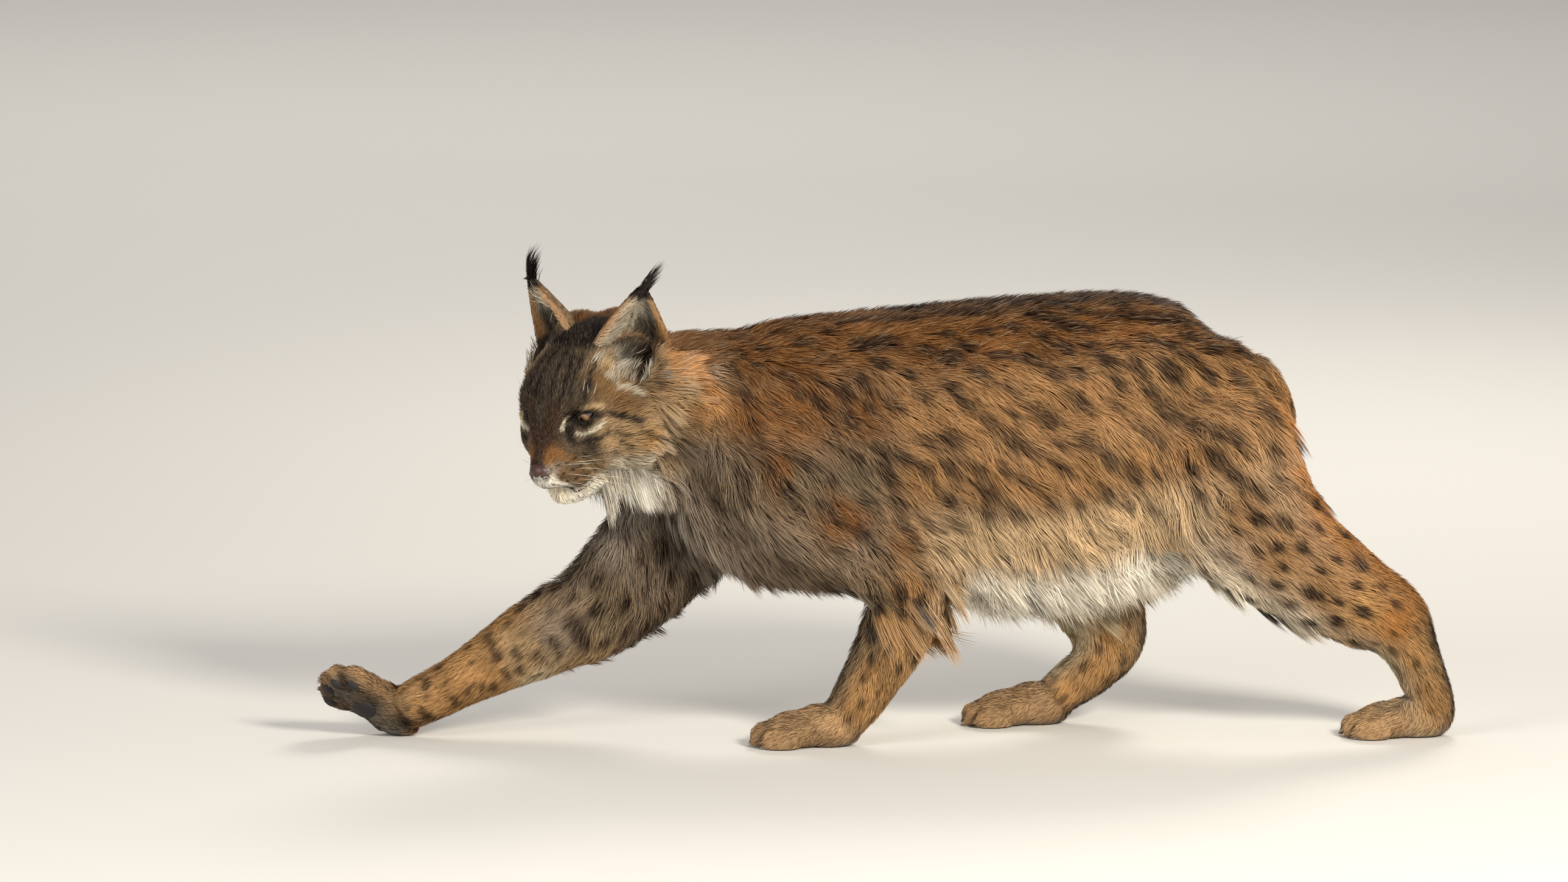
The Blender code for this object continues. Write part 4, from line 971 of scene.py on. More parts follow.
inverseHead = np.array(headPlace.inverted())


def inHead(points):
    return points @ inverseHead[:3, :3].T + inverseHead[:3, 3]


spotSettings = {"seed": 9, "stretch": 1.7, "soft": 0.5}


def scatterSpots(points, normals, lies, kinds):
    rng = np.random.default_rng(spotSettings["seed"])
    order = rng.permutation(np.flatnonzero(kinds[:, 4] > 0.08))[:24000]
    centres, radii, found = [], [], []
    for i in order:
        gap = kinds[i, 6] * mm
        if centres and (((np.array(centres) - points[i]) ** 2).sum(1) < gap**2).any():
            continue
        centres.append(points[i] + normals[i] * kinds[i, 7] * 0.7 * mm)
        radii.append(kinds[i, 5] * mm * rng.uniform(0.6, 1.15))
        found.append(i)
    outward = normals[found]
    along = unit(lies[found] - outward * dot(lies[found], outward)[:, None])
    return np.array(centres), np.array(radii), along, outward


def spotShare(points, strength):
    # darkness of the nearest spot, drawn out along the lie; crisp where the coat is short
    centres, radii, along, normals = (a.astype(np.float32) for a in spots)
    share = np.zeros(len(points))
    spotted = np.flatnonzero(strength > 0.06)
    wobble = waveNoise(points, 0.012, 5)
    squeeze = 1 - 1 / spotSettings["stretch"] ** 2
    for start in range(0, len(spotted), 20000):
        these = spotted[start : start + 20000]
        part = points[these].astype(np.float32)
        gaps = squaredGaps(part, centres)
        gaps -= squeeze * np.square(part @ along.T - dot(centres, along)[None])
        gaps -= 0.75 * np.square(part @ normals.T - dot(centres, normals)[None])
        best = (gaps / np.square(radii)).min(1).clip(0)
        soft = spotSettings["soft"] * (1.1 - strength[these].clip(0, 1))
        distance = np.sqrt(best) * (1 + 0.16 * wobble[these])
        share[these] = (1 - smoothStep(0.8 - soft, 1.1 + soft, distance)) * strength[these].clip(0, 0.94)
    return share


def nearestSkin(points):
    places, normals = np.zeros((len(points), 3)), np.zeros((len(points), 3))
    for i, p in enumerate(points.tolist()):
        places[i], normals[i], _, _ = skinTree.find_nearest(p)
    return places, normals


hairFall = np.array((0.64, 0.0, -0.77))


def markedTone(points, colour, kinds):
    # the same markings for the skin and for every tuft
    # streaks run with the hair of the flank
    drawn = points - 0.62 * (points @ hairFall)[:, None] * hairFall
    colour = colour * (1 + 0.13 * waveNoise(drawn, 0.05, 3) + 0.09 * waveNoise(drawn, 0.022, 4))[:, None]
    colour = blend(colour, toneColour["spot"], spotShare(points, kinds[:, 4]))
    for tone, width, strength, line in bodyMarks:
        near = np.flatnonzero(np.linalg.norm(points - np.array(line[0]), axis=1) < 0.09)
        if len(near):
            share = strength * lineShare(nearestSkin(points[near])[0], line, width * mm)
            colour[near] = blend(colour[near], toneColour[tone], share)
    onHead = np.flatnonzero(points[:, 0] < -0.05)
    local = inHead(points[onHead]) / mm
    onHead = onHead[np.linalg.norm(local - np.array((-30, 0, -20)), axis=1) < 170]
    free = inHead(points[onHead]) / mm
    local = inHead(nearestSkin(points[onHead])[0]) / mm
    rng = np.random.default_rng(77)
    wobble = 1.0 * np.stack([waveNoise(local, 14, s) for s in (11, 12, 13)], 1) + rng.normal(0, 1.1, local.shape)
    for place in (free, local):
        place[:, 1] = abs(place[:, 1])
        place += wobble
    part = colour[onHead] * (1 + 0.16 * waveNoise(local, 7, 14) + 0.10 * waveNoise(local, 18, 15)).clip(0.4, 1.6)[:, None]
    for tone, width, strength, line in faceMarks:
        part = blend(part, toneColour[tone], strength * lineShare(local, line, width))
    for tone, width, strength, line in ruffMarks:
        part = blend(part, toneColour[tone], strength * lineShare(free, line, width))
    for row in whiskerRows:
        for spot in row:
            away = (local - wobble - np.array(spot)) / np.array((1.7, 1.7, 1.0))
            part = blend(part, toneColour["black"], 0.85 * (1 - smoothStep(1.0, 2.0, np.linalg.norm(away, axis=1))))
    for side in bothSides:
        # black skin and short black hair round the eye
        place = np.array(eyeMatrix(side).inverted())
        seen = (points[onHead] @ place[:3, :3].T + place[:3, 3]) / mm
        ring = np.hypot(seen[:, 1] / (eyeShape["half"] + 1), seen[:, 2] / (eyeShape["lower"] + 1.4))
        part = blend(part, toneColour["black"], 0.9 * smoothStep(1.36, 1.08, ring) * (seen[:, 0] > 2))
    colour[onHead] = part
    return colour


# Ear coordinates: height from root to tip, across from the front edge to the rear, inner or outer face
def earPlace(points, normals, side):
    root, length, up, opens, out = [np.array(v) if isinstance(v, Vector) else v for v in earAxes(side)]
    rel = inHead(points) - root
    height = rel @ up / length
    wide = earSizes["halfWidth"] * np.clip(1 - height, 0.02, 1) ** 0.74
    across = rel @ out / wide
    turned = normals @ inverseHead[:3, :3].T
    inner = turned @ opens > 0.1
    return height, across, inner


def earCoat(points, normals, side):
    # lie, kind values and tone for roots on an ear
    root, length, up, opens, out = [np.array(v) if isinstance(v, Vector) else v for v in earAxes(side)]
    height, across, inner = earPlace(points, normals, side)
    front = smoothStep(0.2, -0.5, across)
    lie = np.where(inner[:, None], up * 0.35 + out * (0.9 * front - 0.25 * (1 - front))[:, None],
                   up + out * (0.2 * across)[:, None])
    lie = unit(lie) @ np.array(headPlace.to_3x3()).T
    kinds = np.tile(np.array((1.6, 8, 0.5, 17, 0, 5, 60, 1.8), float), (len(points), 1))
    longer = inner * smoothStep(0.92, 0.6, height) * smoothStep(1.02, 0.86, abs(across))
    kinds[:, 7] += 4 * longer
    kinds[:, 1] += (7 + 15 * front) * longer
    tone = np.where(inner[:, None], toneColour["earInner"], toneColour["earBack"])
    # painted shade: the inner face deep in the ear's cup is darkened towards the spots' near-black
    hollow = inner * smoothStep(-0.05, 0.45, across) * smoothStep(0.62, 0.35, height)
    tone = blend(tone, toneColour["spot"], 0.85 * hollow)
    tone = blend(tone, toneColour["black"], 0.7 * smoothStep(0.10, 0.03, abs(across - 0.88)))
    tone = blend(tone, toneColour["earTan"], 0.85 * smoothStep(0.95, 1.04, abs(across)))
    tone = blend(tone, toneColour["black"], smoothStep(0.80, 0.93, height + 0.05 * abs(across)))
    return lie, kinds, tone


def skinArrays():
    mesh = skin.data
    points, normals = pointsOf(mesh), pointsOf(mesh, "normal")
    count = len(mesh.polygons)
    corners = np.zeros(count * 3, int)
    mesh.polygons.foreach_get("vertices", corners)
    uvs = np.zeros(count * 6)
    mesh.uv_layers["OFBake"].data.foreach_get("uv", uvs)
    parts = np.zeros(count, int)
    mesh.attributes["part"].data.foreach_get("value", parts)
    return points, normals, corners.reshape(-1, 3), uvs.reshape(-1, 3, 2), parts


skinPoints, skinNormals, skinCorners, skinUvs, skinParts = skinArrays()
skinTree = BVHTree.FromPolygons(skinPoints.tolist(), skinCorners.tolist())
vertexLie, vertexKind, vertexTone, vertexHang, vertexGroup = coatAt(skinPoints)
spots = scatterSpots(skinPoints, skinNormals, vertexLie, vertexKind)
print("spots", len(spots[0]))
vertexTone = markedTone(skinPoints, vertexTone, vertexKind)
for code, side in enumerate(bothSides, 1):
    onEar = np.unique(skinCorners[skinParts == code])
    lie, kinds, tone = earCoat(skinPoints[onEar], skinNormals[onEar], side)
    vertexLie[onEar], vertexKind[onEar], vertexTone[onEar] = lie, kinds, tone
    vertexGroup[onEar] = groupNames.index("face")


def setColours(mesh, colours, name="coatColour"):
    layer = mesh.color_attributes.new(name, "FLOAT_COLOR", "POINT")
    layer.data.foreach_set("color", np.hstack([colours.clip(0, 1), np.ones((len(colours), 1))]).ravel())


def coatMaterial(name, settings):
    # reads the piece's own colour attribute
    material, tree, shader = newMaterial(name, settings)
    colour = addNode(tree, "ShaderNodeAttribute", (-400, 100), {"attribute_name": "coatColour"})
    tree.links.new(colour.outputs["Color"], shader.inputs["Base Color"])
    return material


# Winter fur, soft and barely shiny: the eye reads a matt coat with light caught on the tips
furMaterial = coatMaterial("fur_winter_coat", {"Roughness": 0.7, "Specular IOR Level": 0.16})
# The skin under the fur, the same tones and matt, so that no bare gap shows
skinMaterial = coatMaterial("skin_short_underfur", {"Roughness": 0.9, "Specular IOR Level": 0.15})
# the skin's colour is the coat's at 0.62: partly the hairs' darker bases, partly painted shade of the coat's depth over
# the skin
setColours(skin.data, vertexTone * 0.62)
skin.data.materials.clear()
skin.data.materials.append(skinMaterial)
skin.data.polygons.foreach_set("material_index", np.zeros(len(skin.data.polygons), int))


def finishPiece(obj, material=None):
    obj.data.transform(Matrix.Translation(footprintShift))
    if material is not None:
        obj.data.materials.clear()
        obj.data.materials.append(material)
    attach(obj, "root")
    return obj


# One tuft: a curved ribbon of four triangles, a point at its root and its tip
tuftTriangles = np.array([(0, 2, 1), (1, 2, 4), (1, 4, 3), (3, 4, 5)])
tuftPatch = np.array([(0, -1), (-1, -0.4), (1, -0.4), (-1, 0.4), (1, 0.4), (0, 1)]) * 0.0015


def bezier(roots, controls, tips, t):
    return (1 - t) ** 2 * roots + 2 * t * (1 - t) * controls + t * t * tips


def tuftObject(name, tufts, material):
    # tufts: roots, controls, tips, normals, width, roll, rootTone, midTone, tipTone, uvs
    roots, controls, tips = tufts["roots"], tufts["controls"], tufts["tips"]
    count = len(roots)
    ahead = unit(tips - roots)
    side = unit(np.cross(ahead, tufts["normals"]))
    up = np.cross(side, ahead)
    roll = tufts["roll"][:, None]
    side, up = side * np.cos(roll) + up * np.sin(roll), up * np.cos(roll) - side * np.sin(roll)
    width = tufts["width"][:, None] / 2
    middle, late = bezier(roots, controls, tips, 0.36), bezier(roots, controls, tips, 0.72)
    places = np.stack([roots, middle - side * width, middle + side * width,
                       late - side * width * 0.8, late + side * width * 0.8, tips], 1)
    shade = unit(tufts["normals"] * 0.8 + up * 0.2)
    left, right = unit(shade - side * 0.22), unit(shade + side * 0.22)
    shades = np.stack([shade, left, right, left, right, shade], 1)
    tone = np.stack([tufts["rootTone"]] + [tufts["midTone"]] * 2 + [(tufts["midTone"] + tufts["tipTone"]) / 2] * 2
                    + [tufts["tipTone"]], 1)
    faces = (np.arange(count)[:, None, None] * 6 + tuftTriangles[None]).reshape(-1, 3)
    mesh = bpy.data.meshes.new(name)
    mesh.from_pydata(places.reshape(-1, 3), [], faces)
    setColours(mesh, tone.reshape(-1, 3))
    layer = mesh.uv_layers.new(name="OFBake")
    patches = tufts["uvs"][:, None] + tuftPatch[None]
    layer.data.foreach_set("uv", patches.reshape(-1, 2)[faces.ravel()].ravel())
    mesh.polygons.foreach_set("use_smooth", np.ones(len(faces), bool))
    mesh.normals_split_custom_set_from_vertices(shades.reshape(-1, 3))
    made = bpy.data.objects.new(name, mesh)
    bpy.context.scene.collection.objects.link(made)
    return finishPiece(made, material)


def bareAt(points, normals):
    # where no fur grows: soles, eye openings and their rims, nose leather, lips
    bare = (points[:, 2] < 0.004) & (normals[:, 2] < -0.5)
    for side in bothSides:
        place = np.array(eyeMatrix(side).inverted())
        local = (points @ place[:3, :3].T + place[:3, 3]) / mm
        reach = np.linalg.norm(local, axis=1)
        rim = (local[:, 1] / 15.6) ** 2 + (local[:, 2] / 8.4) ** 2 < 1
        bare |= (reach < eyeSizes["radius"] + 0.6) | (rim & (local[:, 0] > 0) & (reach < 22))
    local = inHead(points) / mm
    bare |= (((local - np.array((57, 0, -46))) / np.array((10.5, 12.5, 9))) ** 2).sum(1) < 1
    for code, side in enumerate(bothSides, 1):
        pass
    return bare


coatSettings = {"seed": 21, "clump": 13, "most": 48000, "total": 345000, "fill": 0.6}


def sampleRoots():
    rng = np.random.default_rng(coatSettings["seed"])
    a, b, c = (skinPoints[skinCorners[:, k]] for k in range(3))
    areas = np.linalg.norm(np.cross(b - a, c - a), axis=1) / 2
    centres = (a + b + c) / 3
    faceNormals = unit(np.cross(b - a, c - a))
    kinds = vertexKind[skinCorners].mean(1)
    length, width = kinds[:, 1] * mm, kinds[:, 2] * mm
    layers = 2.7 + 2.3 * smoothStep(10, 40, kinds[:, 1])
    density = layers / (length * width * coatSettings["fill"])
    density[bareAt(centres, faceNormals)] = 0
    for code, side in enumerate(bothSides, 1):
        onEar = np.flatnonzero(skinParts == code)
        height, across, inner = earPlace(centres[onEar], faceNormals[onEar], side)
        density[onEar[height < -0.18]] = 0
        density[onEar] *= 1.5
    expected = areas * density
    expected *= min(1, coatSettings["total"] / expected.sum())
    counts = rng.poisson(expected)
    chosen = np.repeat(np.arange(len(counts)), counts)
    r1, r2 = np.sqrt(rng.random(len(chosen))), rng.random(len(chosen))
    weights = np.stack([1 - r1, r1 * (1 - r2), r1 * r2], 1)
    return chosen, weights


def mixAt(values, chosen, weights):
    return (values[skinCorners[chosen]] * weights[:, :, None]).sum(1)


def toneOf(points, kinds):
    return markedTone(points, coatAt(points)[2], kinds)


def growCoat():
    rng = np.random.default_rng(coatSettings["seed"] + 1)
    chosen, weights = sampleRoots()
    count = len(chosen)
    roots = mixAt(skinPoints, chosen, weights)
    normals = unit(mixAt(skinNormals, chosen, weights))
    kinds = mixAt(vertexKind, chosen, weights)
    lies = mixAt(vertexLie, chosen, weights)
    uvs = (skinUvs[chosen] * weights[:, :, None]).sum(1)
    loose = (0.35 + 0.65 * smoothStep(8, 32, kinds[:, 1]))[:, None]
    wander = np.stack([waveNoise(roots, 0.07, s) for s in (31, 32, 33)], 1) * 0.22
    wander += np.stack([waveNoise(roots, 0.022, s) for s in (34, 35, 36)], 1) * 0.20
    lies = unit(unit(lies) + (wander + rng.normal(0, 0.11, (count, 3))) * loose)
    flat = unit(lies - normals * dot(lies, normals)[:, None])
    length = kinds[:, 1] * mm * rng.uniform(0.7, 1.25, count)
    depth = kinds[:, 7] * mm * rng.uniform(0.4, 1.15, count)
    reach = roots + flat * length[:, None]
    near, nearNormals = nearestSkin(reach)
    lost = (np.linalg.norm(near - reach, axis=1) > 0.55 * length) | (dot(nearNormals, normals) < 0.1)
    tips = np.where(lost[:, None], reach + normals * depth[:, None], near + nearNormals * depth[:, None])
    hang = np.where(skinParts[chosen] > 0, 0, coatAt(roots)[3])
    free = roots + lies * length[:, None] + normals * (depth * 0.7)[:, None]
    inside = dot(free - near, nearNormals) < 0.25 * depth
    tips = np.where(inside[:, None], tips, tips + (free - tips) * hang[:, None])
    lift = np.radians(kinds[:, 3] * rng.uniform(0.6, 1.5, count) + 8)[:, None]
    controls = roots + (flat * np.cos(lift) + normals * np.sin(lift)) * (length * 0.5)[:, None]
    tips[:, 2] = tips[:, 2].clip(0.0015)
    controls[:, 2] = controls[:, 2].clip(0.0015)
    onEar = skinParts[chosen] > 0
    # tips gather into clumps
    leaders = rng.permutation(count)[: count // coatSettings["clump"]]
    tree = KDTree(len(leaders))
    for k, i in enumerate(leaders.tolist()):
        tree.insert(roots[i], k)
    tree.balance()
    leader = leaders[[tree.find(p)[1] for p in roots.tolist()]]
    pull = (0.14 + 0.30 * smoothStep(8, 36, kinds[:, 1])) * rng.uniform(0.5, 1.2, count)
    close = np.linalg.norm(tips[leader] - tips, axis=1) < 0.7 * length
    pull = np.where(close, pull, 0)[:, None]
    tips = tips + (tips[leader] - tips) * pull
    controls = controls + (controls[leader] - controls) * pull * 0.4
    # the markings are read where the middle and the tip of each tuft lie
    tone, endTone = toneOf(bezier(roots, controls, tips, 0.55), kinds), toneOf(tips, kinds)
    tone[onEar] = endTone[onEar] = mixAt(vertexTone, chosen[onEar], weights[onEar])
    # each tuft's own shade, each clump's, and a few pale or black-tipped ones
    long = smoothStep(8, 34, kinds[:, 1])
    own = 1 + rng.normal(0, 1, count) * (0.17 - 0.03 * long) + rng.normal(0, 1, count)[leader] * (0.03 + 0.07 * long)
    own = own.clip(0.5, 1.5)[:, None]
    tone, endTone = tone * own, endTone * own
    draw = rng.random(count)
    pale = (draw < 0.10 + 0.14 * long) * 0.38
    dark = (draw > 0.92 - 0.08 * long) * 0.5
    tipTone = blend(endTone * 1.12, toneColour["paleBuff"], pale)
    tipTone = blend(tipTone, toneColour["spot"], dark)
    groups = vertexGroup[skinCorners[chosen, 0]]
    groups[onEar] = groupNames.index("face")
    for g, name in enumerate(groupNames):
        picked = np.flatnonzero(groups == g)
        pieces = math.ceil(len(picked) / coatSettings["most"])
        for k in range(pieces):
            # a large group is split by where its roots lie
            order = picked[np.argsort(roots[picked, 0])]
            these = order[k * len(order) // pieces : (k + 1) * len(order) // pieces]
            # the roots at 0.45 of the tone are partly the hairs' darker bases, partly painted shade in the coat's depth
            tufts = {
                "roots": roots[these], "controls": controls[these], "tips": tips[these], "normals": normals[these],
                "width": kinds[these, 2] * mm * rng.uniform(0.7, 1.3, len(these)),
                "roll": rng.uniform(-0.8, 0.8, len(these)), "uvs": uvs[these],
                "rootTone": tone[these] * 0.45, "midTone": tone[these] * 0.92, "tipTone": tipTone[these],
            }
            label = "coat_" + name + (str(k + 1) if pieces > 1 else "")
            tuftObject(label, tufts, furMaterial)
            print(label, len(these), "tufts")


growCoat()

# Long locks, in the rows of the solids: both ends of each row, sides (1 is the left), bundles, hairs in each,
# length, lie at the row's ends, lift; the body's in metres, the head's in mm of its own frame
bodyLocks = [
    ("belly edge", bothSides, [(0.03, 0.080, 0.18), (0.22, 0.090, 0.17), (0.42, 0.078, 0.20)], 34, 58, 0.070,
     [(0.60, 0, -0.80)] * 2, 0.06),
    ("belly", bothSides, [(-0.01, 0.030, 0.16), (0.20, 0.034, 0.14), (0.39, 0.030, 0.17)], 26, 48, 0.068,
     [(0.75, 0, -0.66)] * 2, 0.08),
    ("chest", bothSides, [(-0.13, 0.024, 0.31), (-0.09, 0.024, 0.25), (-0.06, 0.028, 0.19)], 15, 45, 0.062,
     [(0.40, 0, -0.92)] * 2, 0.08),
    ("elbow", (1,), [(0.205, 0.080, 0.245), (0.190, 0.080, 0.165)], 9, 40, 0.044, [(0.60, 0, -0.80)] * 2, 0.12),
    ("reaching elbow", (-1,), [(-0.06, 0.065, 0.19), (-0.17, 0.062, 0.10), (-0.26, 0.056, 0.07)], 12, 40, 0.034,
     [(0.75, 0, -0.62)] * 2, 0.08),
    ("haunch", (1,), [(0.575, 0.072, 0.400), (0.605, 0.074, 0.310), (0.665, 0.074, 0.225)], 20, 38, 0.050,
     [(0.50, 0, -0.85)] * 2, 0.06),
    ("far haunch", (-1,), [(0.52, 0.075, 0.36), (0.46, 0.075, 0.25), (0.44, 0.070, 0.18)], 16, 38, 0.050,
     [(0.35, 0, -0.9)] * 2, 0.08),
    ("stifle", (1,), [(0.440, 0.074, 0.245), (0.520, 0.074, 0.165), (0.600, 0.074, 0.130)], 18, 44, 0.056,
     [(0.70, 0, -0.72)] * 2, 0.08),
]
headLocks = [
    ("ruff edge", bothSides, [(-112, 104, 26), (-122, 116, -10), (-116, 114, -54), (-94, 86, -98)], 30, 62, 54,
     [(-0.90, 0.10, -0.35), (-0.40, 0.05, -0.92)], 0.14),
    ("ruff", bothSides, [(-88, 106, 30), (-90, 116, -14), (-86, 108, -58), (-70, 80, -98)], 26, 56, 48,
     [(-0.90, 0.0, -0.30), (-0.45, 0.0, -0.90)], 0.14),
    ("cheek", bothSides, [(-62, 96, 10), (-60, 100, -24), (-54, 90, -62)], 20, 60, 32,
     [(-0.90, 0.0, -0.40), (-0.50, 0.0, -0.85)], 0.10),
    ("beard", (1,), [(-16, 52, -92), (-34, 58, -102), (-48, 54, -110)], 14, 84, 66,
     [(0.10, 0.0, -1.0), (-0.10, 0.0, -1.0)], 0.03),
    ("far beard", (-1,), [(-16, 52, -92), (-36, 60, -102), (-54, 60, -110)], 14, 70, 42,
     [(-0.10, 0.0, -1.0), (-0.25, 0.0, -0.95)], 0.04),
    ("ear hollow", bothSides, [(-46, 56, 42), (-50, 72, 26), (-62, 88, 10)], 12, 26, 25,
     [(-0.75, 0.15, 0.65), (-0.75, -0.10, 0.65)], 0.10),
    ("jaw", bothSides, [(-8, 38, -94), (-36, 30, -110)], 9, 48, 34, [(-0.75, 0.0, -0.60), (-0.60, 0.0, -0.75)], 0.10),
]
lockSizes = {"width": 0.75, "gather": 0.42, "spread": 0.013}


def alongRow(row, shares):
    row = np.array(row, float)
    steps = np.linalg.norm(np.diff(row, axis=0), axis=1)
    reach = np.concatenate([[0], np.cumsum(steps)]) / steps.sum()
    return np.stack([np.interp(shares, reach, row[:, k]) for k in range(3)], 1)


def growLocks(name, rows, place, scale, seed):
    rng = np.random.default_rng(seed)
    turn = np.array(place.to_3x3())
    shift = np.array(place.translation)
    starts, lies, lengths, lifts, leaders, labels = [], [], [], [], [], []
    made = 0
    for label, sides, row, bundles, hairs, length, ends, lift in rows:
        for side in sides:
            # the head's left is +y in its frame, the body's left is -y
            flip = np.array((1, side if scale < 1 else -side, 1))
            bundle = np.repeat(np.arange(bundles), hairs)
            shares = (bundle + rng.uniform(0.2, 0.8, bundles)[bundle]) / bundles
            at = (alongRow(row, shares) * flip * scale) @ turn.T + shift
            jump = rng.normal(0, lockSizes["spread"], (bundles, 3))[bundle]
            starts.append(at + jump + rng.normal(0, 0.0045, at.shape))
            lie = np.array(ends[0]) * (1 - shares[:, None]) + np.array(ends[1]) * shares[:, None]
            lies.append(unit(lie * flip) @ turn.T)
            lengths.append(length * scale * rng.uniform(0.75, 1.1, bundles)[bundle] * rng.uniform(0.6, 1.05, len(at)))
            lifts.append(lift * rng.uniform(0.3, 1.7, bundles)[bundle])
            leaders.append(made + bundle * hairs)
            labels += [label] * len(at)
            made += len(at)
    starts, lies = np.vstack(starts), np.vstack(lies)
    lengths, lifts, leaders = np.concatenate(lengths), np.concatenate(lifts), np.concatenate(leaders)
    count = len(starts)
    roots, normals = nearestSkin(starts)
    lies = unit(lies + rng.normal(0, 0.05, lies.shape))
    flat = unit(lies - normals * dot(lies, normals)[:, None])
    size = lengths[:, None]
    controls = roots + unit(flat + normals * (0.42 + lifts)[:, None]) * size * 0.45
    tips = roots + unit(flat + lies * 0.4 + normals * (0.20 + lifts)[:, None]) * size
    pull = lockSizes["gather"] * rng.uniform(0.5, 1.2, (count, 1))
    tips = tips + (tips[leaders] - tips) * pull
    controls = controls + (controls[leaders] - controls) * pull * 0.4
    tips[:, 2] = tips[:, 2].clip(0.0015)
    middle = bezier(roots, controls, tips, 0.6)
    tone = toneOf(middle, coatAt(middle)[1])
    tone = tone * (1 + 0.10 * rng.normal(0, 1, (count, 1)) + 0.10 * rng.normal(0, 1, (count, 1))[leaders]).clip(0.6, 1.5)
    inEar = np.array(labels) == "ear hollow"
    tone[inEar] = toneColour["earInner"] * rng.uniform(0.45, 0.95, (int(inEar.sum()), 1))
    _, nearest = nearestCorner(roots)
    # the roots at 0.5 of the tone are partly the hairs' darker bases, partly painted shade in the locks' depth
    tufts = {
        "roots": roots, "controls": controls, "tips": tips, "normals": normals,
        "width": lockSizes["width"] * mm * rng.uniform(0.7, 1.3, count) * np.where(inEar, 0.6, 1), "roll": rng.uniform(-0.8, 0.8, count),
        "rootTone": tone * 0.5, "midTone": tone * 0.95,
        "tipTone": blend(tone * 1.1, toneColour["white"], 0.3 * rng.random(count)), "uvs": nearest,
    }
    tuftObject(name, tufts, furMaterial)
    print(name, count, "tufts")


def nearestCorner(points):
    # the unwrap's place under each point, from the nearest face of the skin
    faces = np.array([skinTree.find_nearest(p)[2] for p in points.tolist()])
    return faces, skinUvs[faces].mean(1)


growLocks("locks_body", bodyLocks, Matrix.Identity(4), 1.0, 51)
growLocks("locks_head", headLocks, headPlace, mm, 52)


# Ear tufts: long black hairs at the tips, the near one blown back
earTuftSizes = {"hairs": 130, "length": 0.046, "width": 0.0011, "lean": {1: (-0.80, 0.34, -0.25), -1: (-0.50, 0.42, 0)}}


def makeEarTufts():
    rng = np.random.default_rng(40)
    turn = np.array(headPlace.to_3x3())
    rows = {key: [] for key in ("roots", "controls", "tips", "normals")}
    for side in bothSides:
        root, length, up, opens, out = earAxes(side)
        tip = np.array(headPlace @ (root + up * length * 0.95 - opens * 0.004))
        up, opens, out = (turn @ np.array(v) for v in (up, opens, out))
        lean = turn @ np.array(earTuftSizes["lean"][side])
        count = earTuftSizes["hairs"]
        spread = rng.normal(0, 0.5, (count, 2)).clip(-1, 1)
        size = (earTuftSizes["length"] * (1.1 - 0.35 * abs(spread[:, 0])) * rng.uniform(0.6, 1.05, count))[:, None]
        fan = out * spread[:, :1] * 0.13 + opens * spread[:, 1:] * 0.12
        start = tip + out * spread[:, :1] * 0.0034 + opens * spread[:, 1:] * 0.003 - up * rng.uniform(0, 0.014, (count, 1))
        rows["roots"].append(start)
        rows["controls"].append(start + unit(up + opens * 0.45 + fan) * size * 0.5)
        rows["tips"].append(start + unit(up * 1.15 + lean * 0.75 + fan + rng.normal(0, 0.05, (count, 3))) * size)
        rows["normals"].append(np.tile(unit((opens * 0.6 + up * 0.2)[None]), (count, 1)))
    tufts = {key: np.vstack(value) for key, value in rows.items()}
    count = len(tufts["roots"])
    black = np.tile(toneColour["black"], (count, 1)) * rng.uniform(0.6, 1.4, (count, 1))
    tufts.update(width=rng.uniform(0.6, 1.2, count) * earTuftSizes["width"], roll=rng.uniform(-1.5, 1.5, count),
                 rootTone=black, midTone=black, tipTone=black * 1.3, uvs=nearestCorner(tufts["roots"])[1])
    return tuftObject("ear_tufts", tufts, furMaterial)


makeEarTufts()

# Whiskers: pale, stiff, swept out and back from the rows of dark spots
whiskerSizes = {"length": 60, "width": 0.34, "drop": -0.30, "brow": 24}


def makeWhiskers():
    rng = np.random.default_rng(41)
    place, turn = headPlace, np.array(headPlace.to_3x3())
    starts, ways, sizes = [], [], []
    for side in bothSides:
        for level, row in enumerate(whiskerRows):
            for k, spot in enumerate(row):
                starts.append((spot[0], spot[1] * side, spot[2]))
                ways.append((-0.55 - 0.12 * k, 0.95 * side, whiskerSizes["drop"] * level * 0.5 + 0.12))
                sizes.append(whiskerSizes["length"] * rng.uniform(0.6, 1.0) * (0.75 + 0.10 * k))
        for k in range(3):
            starts.append((-3 - 3 * k, (40 + 4 * k) * side, 22 - 2 * k))
            ways.append((-0.1, 0.4 * side, 1.0))
            sizes.append(whiskerSizes["brow"] * rng.uniform(0.7, 1.0))
    starts = np.array([place @ (Vector(p) * mm) for p in starts])
    ways = unit(np.array(ways) + rng.normal(0, 0.06, (len(ways), 3))) @ turn.T
    near, normals = nearestSkin(starts)
    sizes = np.array(sizes)[:, None] * mm
    count = len(starts)
    pale = np.tile(toneColour["white"], (count, 1))
    tufts = {
        "roots": near, "controls": near + unit(ways + normals * 0.7) * sizes * 0.5,
        "tips": near + unit(ways + np.array((0, 0, -0.18))) * sizes, "normals": normals,
        "width": np.full(count, whiskerSizes["width"] * mm), "roll": rng.uniform(-0.5, 0.5, count),
        "rootTone": pale * 0.3, "midTone": pale * 0.7, "tipTone": pale * 0.85, "uvs": nearestCorner(near)[1],
    }
    return tuftObject("whiskers", tufts, furMaterial)


makeWhiskers()
print("ear tufts and whiskers made")

# Eyes: amber brown, a round pupil, wet and glassy
irisSizes = {"segments": 56, "rings": 40, "corneaRise": 0.035, "turnIn": 11, "drop": 5}


